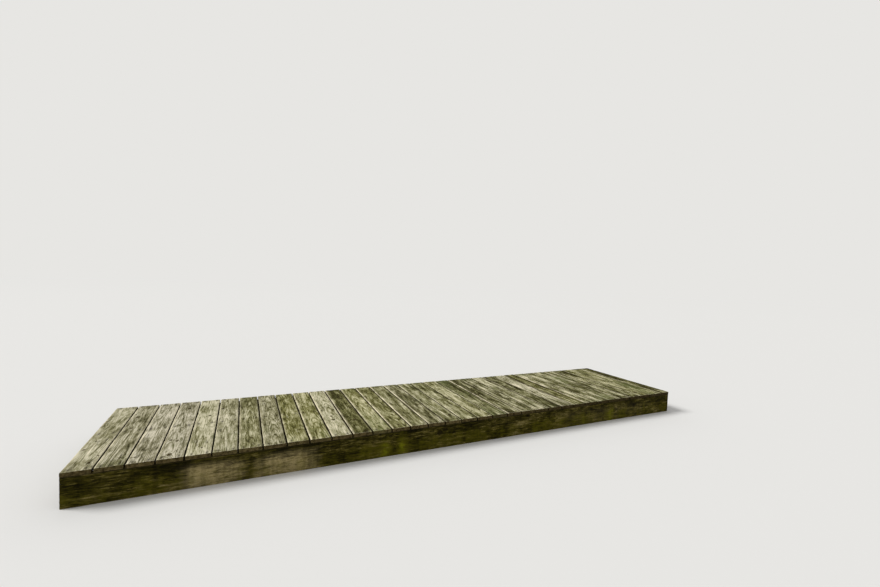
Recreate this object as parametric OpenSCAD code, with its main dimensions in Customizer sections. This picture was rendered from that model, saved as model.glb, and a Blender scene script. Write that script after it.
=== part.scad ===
// Low timber footbridge: radius-edge deck boards laid crosswise on three beams,
// with solid blocking between the beams.
// Sizes are in millimetres. X runs along the span, Y across it from the near
// side to the far side, and Z up. The origin is on the ground, under the middle
// of the deck.

/* [Deck boards] */
// Number of deck boards along the span
board_count = 34; // [12:1:40]
// Width of one deck board, along the span
board_width = 138; // [110:1:190]
// Thickness of one deck board
board_thickness = 26; // [20:1:45]
// Length of the longest deck board, which is the width of the walkway
board_length = 1130; // [900:5:1500]
// Drainage gap between two neighbouring boards
board_gap = 5.5; // [3:0.5:12]
// Radius of a deck board's long edges
board_edge_radius = 5; // [2:0.5:9]
// Most that a hand-sawn board falls short of the deck's side, at each end
saw_play = 3; // [0:0.5:8]

/* [Beams] */
// Depth of a beam, from the ground to the underside of the boards
beam_depth = 178; // [120:1:300]
// Thickness of a beam
beam_thickness = 38; // [32:1:75]
// Radius of a beam's long edges
beam_edge_radius = 3; // [1:0.5:8]
// How far the longest board reaches past the outer face of an outer beam
deck_overhang = 5; // [0:1:60]

/* [Blocking] */
// Thickness of a block between two beams
block_thickness = 38; // [32:1:75]
// Height of a block's lower edge above the lower edges of the beams
block_lift = 38; // [0:1:60]
// How far the middle blocks sit to either side of the middle of the span
block_stagger = 19; // [0:1:60]

/* [Hidden] */
// Chords in each rounded corner of a section
arc_steps = 5;
// Turn between the waves that set one board's saw cut and the next one's
saw_turn = 101;
// Distance from one board's edge to the same edge of the next board
board_pitch = board_width + board_gap;
// Length of the whole deck, and of the beams that end flush with it
span = board_count * board_pitch - board_gap;
// Distance from the middle of the walkway to the middle of an outer beam
beam_offset = board_length / 2 - deck_overhang - beam_thickness / 2;
// Clear distance between two neighbouring beams, which a block fills
bay = beam_offset - beam_thickness;
// Depth of a block, whose upper edge carries the boards as the beams do
block_depth = beam_depth - block_lift;

// Colours, from the bleached deck down to the damp timber below it
board_colour = [0.57, 0.55, 0.49];
beam_colour = [0.25, 0.23, 0.13];
block_colour = [0.33, 0.28, 0.19];

// Names of the nodes, in the order in which the bridge is put together
side_names = ["near", "centre", "far"];
row_names = ["left_end", "middle", "right_end"];

function beam_name(side) = str(side_names[side + 1], "_beam");

function block_name(row, side) = str(row_names[row + 1], "_block_", side_names[side + 1]);

function board_name(i) = str("deck_board_", i < 9 ? "0" : "", i + 1);

beam_names = [for (side = [-1 : 1]) beam_name(side)];
block_names = [for (row = [-1 : 1]) for (side = [-1, 1]) block_name(row, side)];
board_names = [for (i = [0 : board_count - 1]) board_name(i)];

// Points of a quarter circle about a corner's centre
function corner(across, up, radius, start) = [
    for (k = [0 : arc_steps])
        let (angle = start + 90 * k / arc_steps)
            [across + radius * cos(angle), up + radius * sin(angle)]
];

// Outline of a piece of timber that stands on its lower face, with eased edges
function timber_section(width, height, radius) =
    let (reach = width / 2 - radius, top = height - radius)
        concat(
            corner(reach, radius, radius, -90),
            corner(reach, top, radius, 0),
            corner(-reach, top, radius, 90),
            corner(-reach, radius, radius, 180)
        );

// Timber that runs along Y, from one end to the other
module crosswise_timber(from, to, width, height, radius) {
    translate([0, to, 0])
        rotate([90, 0, 0])
            linear_extrude(height = to - from)
                polygon(timber_section(width, height, radius));
}

// Timber that runs along X, centred on the origin
module lengthwise_timber(length, width, height, radius) {
    translate([-length / 2, 0, 0])
        rotate([90, 0, 90])
            linear_extrude(height = length)
                polygon(timber_section(width, height, radius));
}

// How far board i stops short of the deck's side; the first board doesn't
function saw_setback(i, turn) = saw_play * abs(sin(i * turn));

// One deck board, lying across the beams at its place along the span
module deck_board(i) {
    color(board_colour)
        translate([i * board_pitch + board_width / 2 - span / 2, 0, beam_depth])
            crosswise_timber(
                -board_length / 2 + saw_setback(i, saw_turn),
                board_length / 2 - saw_setback(i, saw_turn / 2),
                board_width, board_thickness, board_edge_radius
            );
}

// One beam on edge, under the near side, the middle or the far side of the deck
module beam(side) {
    color(beam_colour)
        translate([0, side * beam_offset, 0])
            lengthwise_timber(span, beam_thickness, beam_depth, beam_edge_radius);
}

// Place of a block along the span. The end blocks are flush with the beam ends,
// and the middle ones are staggered so that each can be nailed through its beam.
function block_place(row, side) =
    row == 0 ? side * block_stagger : row * (span - block_thickness) / 2;

// One block, wedged between the centre beam and an outer beam, under the boards
module block(row, side) {
    inner = beam_thickness / 2;
    outer = inner + bay;
    color(block_colour)
        translate([block_place(row, side), 0, block_lift])
            crosswise_timber(
                min(side * inner, side * outer), max(side * inner, side * outer),
                block_thickness, block_depth, beam_edge_radius
            );
}

for (side = [-1 : 1])
    beam(side);

for (row = [-1 : 1])
    for (side = [-1, 1])
        block(row, side);

for (i = [0 : board_count - 1])
    deck_board(i);
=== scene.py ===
"""Looks of a low timber footbridge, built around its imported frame.

Every deck board, beam and block is a weathered piece of timber on the outline of its own solid. Weather
only eats inwards, so the bridge keeps the frame's size. Units are metres in the frame's axes: X runs along
the span, Y across the walkway from the near side to the far side, and Z up.
"""

import itertools
import logging
import math
from collections.abc import Iterable, Sequence
from dataclasses import dataclass
from enum import Enum, IntEnum
from typing import ClassVar

import bpy
import numpy as np
from mathutils import Matrix, Vector


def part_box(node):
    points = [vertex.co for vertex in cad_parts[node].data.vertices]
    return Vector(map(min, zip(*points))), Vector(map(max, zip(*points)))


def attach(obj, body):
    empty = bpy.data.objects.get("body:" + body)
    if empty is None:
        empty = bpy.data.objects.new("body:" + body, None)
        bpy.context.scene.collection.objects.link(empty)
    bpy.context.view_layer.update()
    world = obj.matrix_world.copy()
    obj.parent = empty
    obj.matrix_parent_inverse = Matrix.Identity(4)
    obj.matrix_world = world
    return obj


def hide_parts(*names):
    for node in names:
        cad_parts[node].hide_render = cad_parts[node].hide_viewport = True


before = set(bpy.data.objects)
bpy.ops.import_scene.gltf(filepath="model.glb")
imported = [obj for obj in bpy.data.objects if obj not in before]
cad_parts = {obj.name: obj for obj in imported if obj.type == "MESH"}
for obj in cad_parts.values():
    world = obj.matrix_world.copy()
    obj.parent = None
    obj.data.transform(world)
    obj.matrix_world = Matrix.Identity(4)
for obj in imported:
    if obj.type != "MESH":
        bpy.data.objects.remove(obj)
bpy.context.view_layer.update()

LOG = logging.getLogger("footbridge")
BODY = "root"

# Radii of the long edges, as on the solids
BOARD_EDGE = 0.005
BEAM_EDGE = 0.003

# Two places closer than this are the same
HAIR = 1e-6

# What a mesh line for a knot or a nail keeps from others, and a plain one as a share of its spacing
LINE_ROOM = 0.002
PLAIN_ROOM = 0.4

# An edge that turns more than this is shaded sharp
SHARP_TURN = math.radians(50)

Colour = tuple[float, float, float, float]
Triple = tuple[float, float, float]

# A smooth step: where it starts and ends, and what it gives there, which is 0 and 1 if left out
Step = tuple[float, ...]

# Two values that go together, such as the lowest and the highest that is drawn
Pair = tuple[float, float]

# Values at some places, and straight lines between them
Trend = tuple[Pair, ...]

# Middle of a noise texture's values
MEAN = 0.5


def paint(red: int, green: int, blue: int) -> Colour:
    """Turns a colour as it looks on screen into Blender's linear values.

    Args:
        red: Red from 0 to 255.
        green: Green from 0 to 255.
        blue: Blue from 0 to 255.

    Returns:
        The linear colour, with an alpha of 1.
    """
    parts = [value / 255 for value in (red, green, blue)]
    linear = [p / 12.92 if p <= 0.04045 else ((p + 0.055) / 1.055) ** 2.4 for p in parts]
    return (*linear, 1.0)


def ease(value: np.ndarray, low: float, high: float, start: float = 0.0, end: float = 1.0) -> np.ndarray:
    """Goes smoothly from start at low to end at high, which may lie below low."""
    share = np.clip((value - low) / (high - low), 0.0, 1.0)
    return start + (end - start) * (share * share * (3 - 2 * share))


def bell(value: np.ndarray, width: float, height: float = 1.0) -> np.ndarray:
    """Falls smoothly from its height at zero, to about a third of it at a width to either side."""
    return height * np.exp(-((value / width) ** 2))


def read(trend: Trend, place: float) -> float:
    """Value of a trend at a place."""
    return float(np.interp(place, *zip(*trend)))


def circle(radius: float, sides: int, lift: float = 0.0) -> list[Vector]:
    """Points round a level circle, from its middle."""
    turns = [2 * math.pi * step / sides for step in range(sides)]
    return [Vector((radius * math.cos(turn), radius * math.sin(turn), lift)) for turn in turns]


@dataclass(frozen=True)
class Grid:
    """A grid that a noise lies on.

    Attributes:
        cells: The size of its cells and its shift in cells, for each direction.
        amount: How far the noise goes to either side of 0.
    """

    cells: tuple[Pair, ...]
    amount: float = 1.0


class Noise:
    """Smooth noise from a seeded table, the same on each run."""

    SIZE: ClassVar[int] = 4096
    STRIDES: ClassVar[tuple[int, ...]] = (1, 157, 2731)

    def __init__(self, seed: int) -> None:
        """Fills the table from a seed."""
        self.table = np.random.default_rng(seed).uniform(-1.0, 1.0, self.SIZE)

    def at(self, grid: Grid, *places: np.ndarray) -> np.ndarray:
        """Reads the noise at some places.

        Args:
            grid: The grid that it lies on.
            places: One array for each of the grid's directions.

        Returns:
            Values up to the grid's amount to either side of 0.
        """
        spots = [place / size + shift for place, (size, shift) in zip(places, grid.cells)]
        cells = [np.floor(spot).astype(int) for spot in spots]
        parts = [ease(spot - cell, 0, 1) for spot, cell in zip(spots, cells)]
        total = np.zeros(np.shape(spots[0]))
        for corner in itertools.product((0, 1), repeat=len(spots)):
            entry = sum((cell + step) * stride for cell, step, stride in zip(cells, corner, self.STRIDES))
            weight = np.ones(total.shape)
            for part, step in zip(parts, corner):
                weight = weight * (part if step else 1 - part)
            total = total + weight * self.table[entry % self.SIZE]
        return total * grid.amount


class Trait(Enum):
    """What the points of a timber mesh carry for its finish."""

    FIBRE = "fibre"
    RING = "ring"
    BANDS = "bands"
    STREAKS = "streaks"
    KNOT = "knot"
    TONE = "tone"
    WARMTH = "warmth"
    # Worn, bleached edges, with a painted highlight along the deck boards' lit edges and painted sunlight
    # on the near beam's pale patches
    WEAR_AND_HIGHLIGHT = "wear"
    # Painted shade in cracks, gaps and crevices, with some dirt
    SHADE_AND_DIRT = "shade_and_dirt"
    SHELTER = "shelter"
    STAIN = "stain"
    FILM = "film"


@dataclass(frozen=True)
class Layer:
    """A noise texture.

    Attributes:
        shape: How many of its patches there are to a metre, along each axis.
        detail: How many finer layers it has over the first.
        rough: How strong each of them is against the one before.
        share: How strongly it counts.
        relief: How strongly it counts in the relief.
    """

    shape: Triple
    detail: float = 2.0
    rough: float = 0.5
    share: float = 1.0
    relief: float = 0.0


class Signal:
    """A value, colour or vector that a node puts out, which can be added, multiplied and so on."""

    def __init__(self, wiring: "Wiring", socket: bpy.types.NodeSocket) -> None:
        """Takes the socket and the wiring that it is part of."""
        self.wiring = wiring
        self.socket = socket

    def __add__(self, other: "Source") -> "Signal":
        """This value and another, added."""
        return self.wiring.math("ADD", self, other)

    def __sub__(self, other: "Source") -> "Signal":
        """This value less another."""
        return self.wiring.math("SUBTRACT", self, other)

    def __rsub__(self, other: "Source") -> "Signal":
        """Another value less this one."""
        return self.wiring.math("SUBTRACT", other, self)

    def __mul__(self, other: "Source") -> "Signal":
        """This value and another, multiplied."""
        return self.wiring.math("MULTIPLY", self, other)

    def __truediv__(self, other: "Source") -> "Signal":
        """This value divided by another."""
        return self.wiring.math("DIVIDE", self, other)

    def __rtruediv__(self, other: "Source") -> "Signal":
        """Another value divided by this one."""
        return self.wiring.math("DIVIDE", other, self)

    def __abs__(self) -> "Signal":
        """This value without its sign."""
        return self.wiring.math("ABSOLUTE", self)


Source = Signal | float | Sequence[float]
Signals = dict[str, Signal]


class Wiring:
    """A node tree being wired up, with one short method for each common node."""

    def __init__(self, tree: bpy.types.NodeTree) -> None:
        """Takes the tree that the nodes go into."""
        self.tree = tree
        self.known: dict[Trait, Signal] = {}

    def feed(self, socket: bpy.types.NodeSocket, value: Source) -> None:
        """Links a signal to a socket, or sets the socket's own value.

        Args:
            socket: An input of a node in this tree.
            value: What it is to hold.
        """
        if isinstance(value, Signal):
            self.tree.links.new(value.socket, socket)
        else:
            socket.default_value = value

    def add(
        self,
        kind: str,
        sockets: dict[str | int, Source] | None = None,
        output: str | int = 0,
        **options: object,
    ) -> Signal:
        """Adds a node.

        Args:
            kind: Blender's name of the node, without its first word ShaderNode.
            sockets: What each input holds, by name or number.
            output: The output that is wanted.
            options: The node's own settings.

        Returns:
            What that output puts out.
        """
        node = self.tree.nodes.new("ShaderNode" + kind)
        for option, value in options.items():
            setattr(node, option, value)
        for key, value in (sockets or {}).items():
            self.feed(node.inputs[key], value)
        return Signal(self, node.outputs[output])

    def math(self, operation: str, *values: Source) -> Signal:
        """A Math node over one or two values."""
        return self.add("Math", dict(enumerate(values)), operation=operation)

    def fract(self, value: Signal) -> Signal:
        """A value's part after the point."""
        return self.math("FRACT", value)

    def stretch(self, vector: Signal, scale: Source) -> Signal:
        """A vector multiplied by its own scale along each axis."""
        return self.add("VectorMath", {0: vector, 1: scale}, operation="MULTIPLY")

    def noise(self, vector: Signal, layer: Layer, scale: Source = 1.0) -> Signal:
        """Places a noise texture.

        Args:
            vector: Where it is read.
            layer: Its shape and its detail.
            scale: Its scale, on top of its shape.

        Returns:
            Values from 0 to 1.
        """
        spot = self.stretch(vector, layer.shape)
        sockets = {"Vector": spot, "Scale": scale, "Detail": layer.detail, "Roughness": layer.rough}
        return self.add("TexNoise", sockets)

    def span(
        self,
        value: Signal,
        low: Source,
        high: Source,
        start: float = 0.0,
        end: float = 1.0,
    ) -> Signal:
        """Maps low to start and high to end, smoothly and within them."""
        sockets = {"Value": value, "From Min": low, "From Max": high, "To Min": start, "To Max": end}
        return self.add("MapRange", sockets, interpolation_type="SMOOTHSTEP")

    def patches(self, level: Signal, amount: Signal, none: float, soft: float) -> Signal:
        """Mask of where a level passes a soft limit, which lies at none and drops with the amount."""
        limit = none - amount * 0.5
        return self.span(level, limit, limit + soft)

    def blend(self, share: Source, first: Source, second: Source) -> Signal:
        """Colour that goes from first to second with share."""
        return self.add("Mix", {0: share, 6: first, 7: second}, 2, data_type="RGBA")

    def ramp(self, value: Signal, *stops: tuple[float, Colour]) -> Signal:
        """Places a colour ramp.

        Args:
            value: Where it is read.
            stops: A place and a colour for each stop.

        Returns:
            The ramp's colour.
        """
        result = self.add("ValToRGB", {"Fac": value})
        elements = result.socket.node.color_ramp.elements
        while len(elements) < len(stops):
            elements.new(1.0)
        for element, (place, colour) in zip(elements, stops):
            element.position = place
            element.color = colour
        return result

    def trait(self, trait: Trait) -> Signal:
        """Reads what a mesh of timber carries at each point.

        Args:
            trait: What to read.

        Returns:
            A vector for the fibre, and else a value.
        """
        if trait not in self.known:
            output = "Vector" if trait is Trait.FIBRE else "Fac"
            self.known[trait] = self.add("Attribute", output=output, attribute_name=trait.value)
        return self.known[trait]

    def place(self) -> Signal:
        """Place in the object's own space, which is the frame's."""
        return self.add("TexCoord", output="Object")

    def bump(self, height: Signal, strength: float, distance: float) -> Signal:
        """Normal that is bent by a height."""
        return self.add("Bump", {"Height": height, "Strength": strength, "Distance": distance})


class Effect:
    """A shader node group that is built once and placed in each material with its own values."""

    title: ClassVar[str]
    inputs: ClassVar[dict[str, str]]
    outputs: ClassVar[tuple[str, ...]]

    def wire(self, wiring: Wiring, given: Signals) -> Signals:
        """Wires the group's inside, from what each input is given to what each output puts out."""
        raise NotImplementedError

    def tree(self) -> bpy.types.NodeTree:
        """Builds the group on first use.

        Returns:
            The group's tree.
        """
        known = bpy.data.node_groups.get(self.title)
        if known:
            return known
        tree = bpy.data.node_groups.new(self.title, "ShaderNodeTree")
        for name, kind in self.inputs.items():
            tree.interface.new_socket(name, in_out="INPUT", socket_type="NodeSocket" + kind)
        for name in self.outputs:
            tree.interface.new_socket(name, in_out="OUTPUT", socket_type="NodeSocketFloat")
        wiring = Wiring(tree)
        given = tree.nodes.new("NodeGroupInput")
        result = tree.nodes.new("NodeGroupOutput")
        made = self.wire(wiring, {name: Signal(wiring, given.outputs[name]) for name in self.inputs})
        for name in self.outputs:
            wiring.feed(result.inputs[name], made[name])
        return tree

    def place(self, wiring: Wiring, **values: Source) -> Signals:
        """Puts the group into a material.

        Args:
            wiring: The material's tree.
            values: What each input holds.

        Returns:
            What comes out at each of the group's outputs.
        """
        node = wiring.tree.nodes.new("ShaderNodeGroup")
        node.node_tree = self.tree()
        for name, value in values.items():
            wiring.feed(node.inputs[name], value)
        return {name: Signal(wiring, node.outputs[name]) for name in self.outputs}


class TimberFigure(Effect):
    """Growth rings, fibre streaks and knots of sawn timber."""

    title = "timber_figure"
    inputs = {
        "Fibre": "Vector",
        "Ring": "Float",
        "Knot": "Float",
        "Rings": "Float",
        "Streaks": "Float",
        "Bands": "Float",
    }
    outputs = ("Light", "Relief", "Knot Mask", "Knot Rim")

    # Streaks from the narrowest to the broadest
    STREAKS = {
        "hair": Layer((2400.0, 40.0, 2400.0), 1.0, share=0.5, relief=0.15),
        "fine": Layer((900.0, 24.0, 900.0), 2.0, 0.6, share=0.8, relief=0.4),
        "medium": Layer((260.0, 9.0, 260.0), 3.0, 0.6, share=0.9, relief=0.5),
        "broad": Layer((60.0, 9.0, 60.0), 3.0, 0.62, share=0.9),
        "cloud": Layer((9.0, 4.5, 9.0), share=0.6),
    }
    BANDS = Layer((24.0, 2.4, 24.0))
    FRAY = Layer((420.0, 9.0, 420.0), 1.0, share=0.45)

    # Where in a ring the late wood darkens and where it ends, its mean, and how clouds fade the rings
    LATE = (0.5, 0.88)
    RING_END = (1.0, 0.94)
    LATE_MEAN = 0.25
    LATE_RELIEF = 0.45
    CLOUDED = (0.3, 0.65, 0.4, 1.3)

    # A knot's ragged outline, in its radii, the rings inside it, and how dark and how deep these are
    RAGGED = 0.7
    OUTLINE = (1.15, 0.8)
    CORE_RINGS = 4.2
    CORE = (0.25, 0.85)
    CORE_DARK = 0.45
    CORE_RELIEF = 0.3

    # Where the cracks round a knot lie, in its radii, how wide they are, how they break up, and their depth
    RIM_AT = 0.98
    RIM = (0.2, 0.04)
    RIM_BREAKS = (0.35, 0.6, 0.35, 1.0)
    RIM_RELIEF = 0.9

    def wire(self, wiring: Wiring, given: Signals) -> Signals:
        """Wires the rings, five widths of streak and the knots.

        Args:
            wiring: The group's own tree.
            given: Place along the fibre, number of the ring, distance to the knot, and strengths.

        Returns:
            Lightness, relief, and masks of the knots and of the cracks round them.
        """
        fibre = given["Fibre"]
        part = wiring.fract(wiring.noise(fibre, self.FRAY) * self.FRAY.share + given["Ring"])
        late = wiring.span(part, *self.LATE) * wiring.span(part, *self.RING_END)
        noises = {name: wiring.noise(fibre, layer) for name, layer in self.STREAKS.items()}
        rings = given["Rings"] * wiring.span(noises["cloud"], *self.CLOUDED)
        ragged = (noises["medium"] - MEAN) * self.RAGGED + given["Knot"]
        knot = wiring.span(ragged, *self.OUTLINE)
        core = knot * wiring.span(wiring.fract(ragged * self.CORE_RINGS), *self.CORE)
        breaks = wiring.span(noises["medium"], *self.RIM_BREAKS)
        rim = wiring.span(abs(ragged - self.RIM_AT), *self.RIM) * breaks
        streak = (wiring.noise(fibre, self.BANDS) - MEAN) * given["Bands"]
        relief = late * self.LATE_RELIEF - core * self.CORE_RELIEF - rim * self.RIM_RELIEF
        for name, layer in self.STREAKS.items():
            streak = streak + (noises[name] - MEAN) * layer.share
            if layer.relief:
                relief = relief + noises[name] * layer.relief
        light = streak * given["Streaks"] - (late - self.LATE_MEAN) * rings - core * self.CORE_DARK + MEAN
        return {"Light": light, "Relief": relief, "Knot Mask": knot, "Knot Rim": rim}


class DryingChecks(Effect):
    """Short dark hair cracks that follow the grain."""

    title = "drying_checks"
    inputs = {"Fibre": "Vector", "Amount": "Float"}
    outputs = ("Mask",)

    LINES = Layer((110.0, 3.4, 110.0), 2.0, 0.6)
    SPREAD = Layer((26.0, 6.0, 26.0), 1.0)

    # Width of a line, the level where cracks start if there are none, and how softly they start
    WIDTH = (0.03, 0.004)
    NONE = 0.86
    SOFT = 0.08

    def wire(self, wiring: Wiring, given: Signals) -> Signals:
        """Wires thin contour lines of a stretched noise, kept in a few places.

        Args:
            wiring: The group's own tree.
            given: Place along the fibre, and how many cracks there are.

        Returns:
            A mask of the cracks.
        """
        line = wiring.span(abs(wiring.noise(given["Fibre"], self.LINES) - MEAN), *self.WIDTH)
        where = wiring.noise(given["Fibre"], self.SPREAD)
        return {"Mask": line * wiring.patches(where, given["Amount"], self.NONE, self.SOFT)}


class Blotches(Effect):
    """Soft patches of dirt, damp or bleaching, a little longer along the grain."""

    title = "blotches"
    inputs = {"Fibre": "Vector", "Size": "Float", "Amount": "Float"}
    outputs = ("Mask",)

    CLOUDS = Layer((1.6, 0.8, 1.6), 5.0, 0.62)

    # The level where patches start if there are none, and how softly they start
    NONE = 0.78
    SOFT = 0.16

    def wire(self, wiring: Wiring, given: Signals) -> Signals:
        """Wires the highest parts of a layered noise, with patches as large and as many as asked for."""
        level = wiring.noise(given["Fibre"], self.CLOUDS, 1.0 / given["Size"])
        return {"Mask": wiring.patches(level, given["Amount"], self.NONE, self.SOFT)}


class AlgaeFilm(Effect):
    """Thin green growth, thick in places and thin where it dries out."""

    title = "algae_film"
    inputs = {"Fibre": "Vector", "Patch": "Vector", "Film": "Float"}
    outputs = ("Mask", "Thick")

    PATCH = Layer((1.0, 1.0, 1.0), 4.0, 0.6, share=0.7)
    CRUST = Layer((60.0, 14.0, 60.0), 3.0, 0.65, share=0.9)
    THIN = (0.95, 1.35)
    THICK = (1.32, 1.8)

    def wire(self, wiring: Wiring, given: Signals) -> Signals:
        """Wires patches that the film's own amount lets through, broken up by the grain.

        Args:
            wiring: The group's own tree.
            given: Place along the fibre, place in the patches, and how much growth there is.

        Returns:
            Masks of thin and of thick growth.
        """
        patch = wiring.noise(given["Patch"], self.PATCH) * self.PATCH.share
        crust = wiring.noise(given["Fibre"], self.CRUST) * self.CRUST.share
        level = patch + crust + given["Film"]
        return {"Mask": wiring.span(level, *self.THIN), "Thick": wiring.span(level, *self.THICK)}


class SawnEnd(Effect):
    """Which faces are sawn ends, and the light and dark of their end grain."""

    title = "sawn_end"
    inputs = {"Fibre": "Vector", "Ring": "Float", "Grain": "Vector"}
    outputs = ("Mask", "Light")

    SPECKS = Layer((700.0, 700.0, 700.0), 3.0, 0.7, share=0.6)
    PATCHES = Layer((45.0, 45.0, 45.0), 3.0, 0.6, share=1.3)

    # Where in a ring the late wood darkens and where it ends, and how dark it and all the end grain are
    LATE = (0.3, 0.85)
    RING_END = (1.0, 0.92)
    LATE_DARK = 0.4
    DARK = 0.35

    # How squarely a face meets the grain, from where it starts to count as an end to where it fully does
    SQUARE = (0.6, 0.8)

    def wire(self, wiring: Wiring, given: Signals) -> Signals:
        """Wires the test for a face across the grain, the rings and the saw marks.

        Args:
            wiring: The group's own tree.
            given: Place along the fibre, number of the ring, and direction of the grain.

        Returns:
            A mask of the sawn ends, and their lightness.
        """
        normal = wiring.add("NewGeometry", output="True Normal")
        facing = wiring.add("VectorMath", {0: normal, 1: given["Grain"]}, "Value", operation="DOT_PRODUCT")
        part = wiring.fract(given["Ring"])
        late = wiring.span(part, *self.LATE) * wiring.span(part, *self.RING_END)
        speck = wiring.noise(given["Fibre"], self.SPECKS) * self.SPECKS.share
        patch = wiring.noise(given["Fibre"], self.PATCHES) * self.PATCHES.share
        light = patch + speck - late * self.LATE_DARK - self.DARK
        return {"Mask": wiring.span(abs(facing), *self.SQUARE), "Light": light}


class DripMarks(Effect):
    """Streaks that water leaves on a beam's face below each gap between boards."""

    title = "drip_marks"
    inputs = {"Place": "Vector", "First": "Float", "Pitch": "Float"}
    outputs = ("Mask", "Broad")

    WAVER = Layer((9.0, 9.0, 22.0), share=0.05)

    # Half the width of the weakest streak, and how much wider the strongest is, in distances between gaps
    NARROW = 0.05
    WIDER = 0.16

    # How many broad bands there are to a gap, and where they darken
    BANDS = 1.08
    DARKEN = (0.42, 0.62)

    def wire(self, wiring: Wiring, given: Signals) -> Signals:
        """Wires one wavering streak for each gap, each of its own strength.

        Args:
            wiring: The group's own tree.
            given: Place on the bridge, place of the first gap, and distance between two.

        Returns:
            Masks of the narrow streaks, and of broad darker bands between them.
        """
        span = wiring.add("SeparateXYZ", {0: given["Place"]}, "X")
        waver = (wiring.noise(given["Place"], self.WAVER) - MEAN) * self.WAVER.share
        turn = (waver + span - given["First"]) / given["Pitch"]
        number = wiring.math("ROUND", turn)
        strength = wiring.add("TexWhiteNoise", {"W": number}, noise_dimensions="1D")
        narrow = wiring.span(abs(turn - number), strength * self.WIDER + self.NARROW, 0.0)
        bands = (turn + given["First"] / given["Pitch"]) * self.BANDS
        band = wiring.add("TexNoise", {"W": bands, "Detail": 1.0}, noise_dimensions="1D")
        return {"Mask": narrow * strength * strength, "Broad": wiring.span(band, *self.DARKEN)}


@dataclass(frozen=True)
class TimberFinish:
    """The finish of one kind of weathered timber.

    Attributes:
        title: Name of the material.
        slot: The record's material slot.
        dark: The darkest streaks.
        middle: The wood between light and dark.
        light: The lightest streaks.
        bleach_and_highlight: Worn edges and broken fibres, and the painted highlights and painted sunlight
            laid on in this colour.
        under: Sheltered faces that sun and feet don't reach.
        end: Sawn end grain.
        knot: Knots.
        dirt_and_shade: Cracks, gaps and hollows, as dirt and as painted shade.
        film: Thin green growth.
        growth: Thick green growth.
        grain: Direction of the grain.
        rings: Strength of the growth rings.
        streaks: Strength of the fibre streaks.
        checks: How many hair cracks there are.
        patches: How far dirt and bleaching spread.
        drips: Strength of the streaks below the gaps.
        growth_shape: How many patches of growth there are to a metre, along each axis of the frame.
        bump: Depth of the fine relief in metres.
        gloss: Specular level of the surface.
    """

    title: str
    slot: str
    dark: Colour
    middle: Colour
    light: Colour
    bleach_and_highlight: Colour
    under: Colour
    end: Colour
    knot: Colour
    dirt_and_shade: Colour
    film: Colour
    growth: Colour
    grain: Triple
    rings: float
    streaks: float
    checks: float
    patches: float
    drips: float
    growth_shape: Triple
    bump: float
    gloss: float

    FLECKS: ClassVar[Layer] = Layer((140.0, 30.0, 140.0), 3.0, 0.7)

    # How far the figure and a piece's own tone turn the wood lighter or darker
    FIGURE_SHIFT: ClassVar[float] = 1.2
    TONE_SHIFT: ClassVar[float] = 0.32

    # Size in metres of each kind of patch, and how far it turns the wood lighter or darker
    BLOTCHES: ClassVar[tuple[Pair, ...]] = ((0.30, 0.3), (0.15, -0.4), (0.035, -0.4))

    # Where the five shades from dirt to bleached wood and a knot's three lie between darkest and lightest
    SHADE_STOPS: ClassVar[tuple[float, ...]] = (0.06, 0.28, 0.5, 0.70, 0.92)
    KNOT_STOPS: ClassVar[tuple[float, ...]] = (0.1, 0.42, 0.8)

    # The hue that changes nothing, how far silvered wood turns from it, and how far warmth deepens a colour
    SAME_HUE: ClassVar[float] = 0.5
    HUE_TURN: ClassVar[float] = 0.027
    DEEPENING: ClassVar[float] = 0.35

    # How far worn flecks and hard wood bleach, and how light sheltered wood and sawn ends are
    FLECKED: ClassVar[Step] = (0.3, 0.55, 0.35, 1.0)
    HARD: ClassVar[Step] = (0.1, 0.65, 0.35, 1.15)
    DULL: ClassVar[Step] = (0.1, 0.9)

    # How well light and dark wood hold growth, how green it is there, and how much less the ends hold
    HOLDS: ClassVar[Step] = (0.25, 0.8, 1.0, 0.35)
    GREEN: ClassVar[Step] = (-0.3, 0.35)
    END_LOSS: ClassVar[float] = 0.7

    ROUGHNESS: ClassVar[Step] = (0.0, 1.0, 0.92, 0.72)
    CHECK_DEPTH: ClassVar[float] = 1.2
    BUMP_STRENGTH: ClassVar[float] = 0.8

    # How far each of these covers what lies under it
    COVER: ClassVar[dict[str, float]] = {
        "knot": 0.85,
        "knot rim": 0.75,
        "bleach_and_highlight": 0.95,
        "broad drips": 0.45,
        "film": 0.8,
        "growth": 0.9,
        "checks": 0.8,
        "stain": 0.85,
    }

    def weathered(self, wiring: Wiring, figure: Signals) -> Signal:
        """Colours the faces that the weather reaches.

        Args:
            wiring: The material's tree.
            figure: What the timber's figure puts out.

        Returns:
            The colour with its tone, knots, dirt and worn edges, the edges partly painted highlight.
        """
        fibre = wiring.trait(Trait.FIBRE)
        light = figure["Light"]
        toned = (light - MEAN) * self.FIGURE_SHIFT + wiring.trait(Trait.TONE) * self.TONE_SHIFT
        for size, shift in self.BLOTCHES:
            patch = Blotches().place(wiring, Fibre=fibre, Size=size, Amount=self.patches)["Mask"]
            toned = toned + patch * shift
        shades = (self.dirt_and_shade, self.dark, self.middle, self.light, self.bleach_and_highlight)
        colour = wiring.ramp(wiring.math("TANH", toned) * 0.5 + 0.5, *zip(self.SHADE_STOPS, shades))
        warmth = wiring.trait(Trait.WARMTH)
        hue = wiring.math("MINIMUM", warmth, 0.0) * self.HUE_TURN + self.SAME_HUE
        depth = warmth * self.DEEPENING + 1.0
        colour = wiring.add("HueSaturation", {"Hue": hue, "Saturation": depth, "Color": colour})
        heart = wiring.ramp(light, *zip(self.KNOT_STOPS, (self.dirt_and_shade, self.knot, self.middle)))
        colour = wiring.blend(figure["Knot Mask"] * self.COVER["knot"], colour, heart)
        colour = wiring.blend(figure["Knot Rim"] * self.COVER["knot rim"], colour, self.dirt_and_shade)
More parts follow.
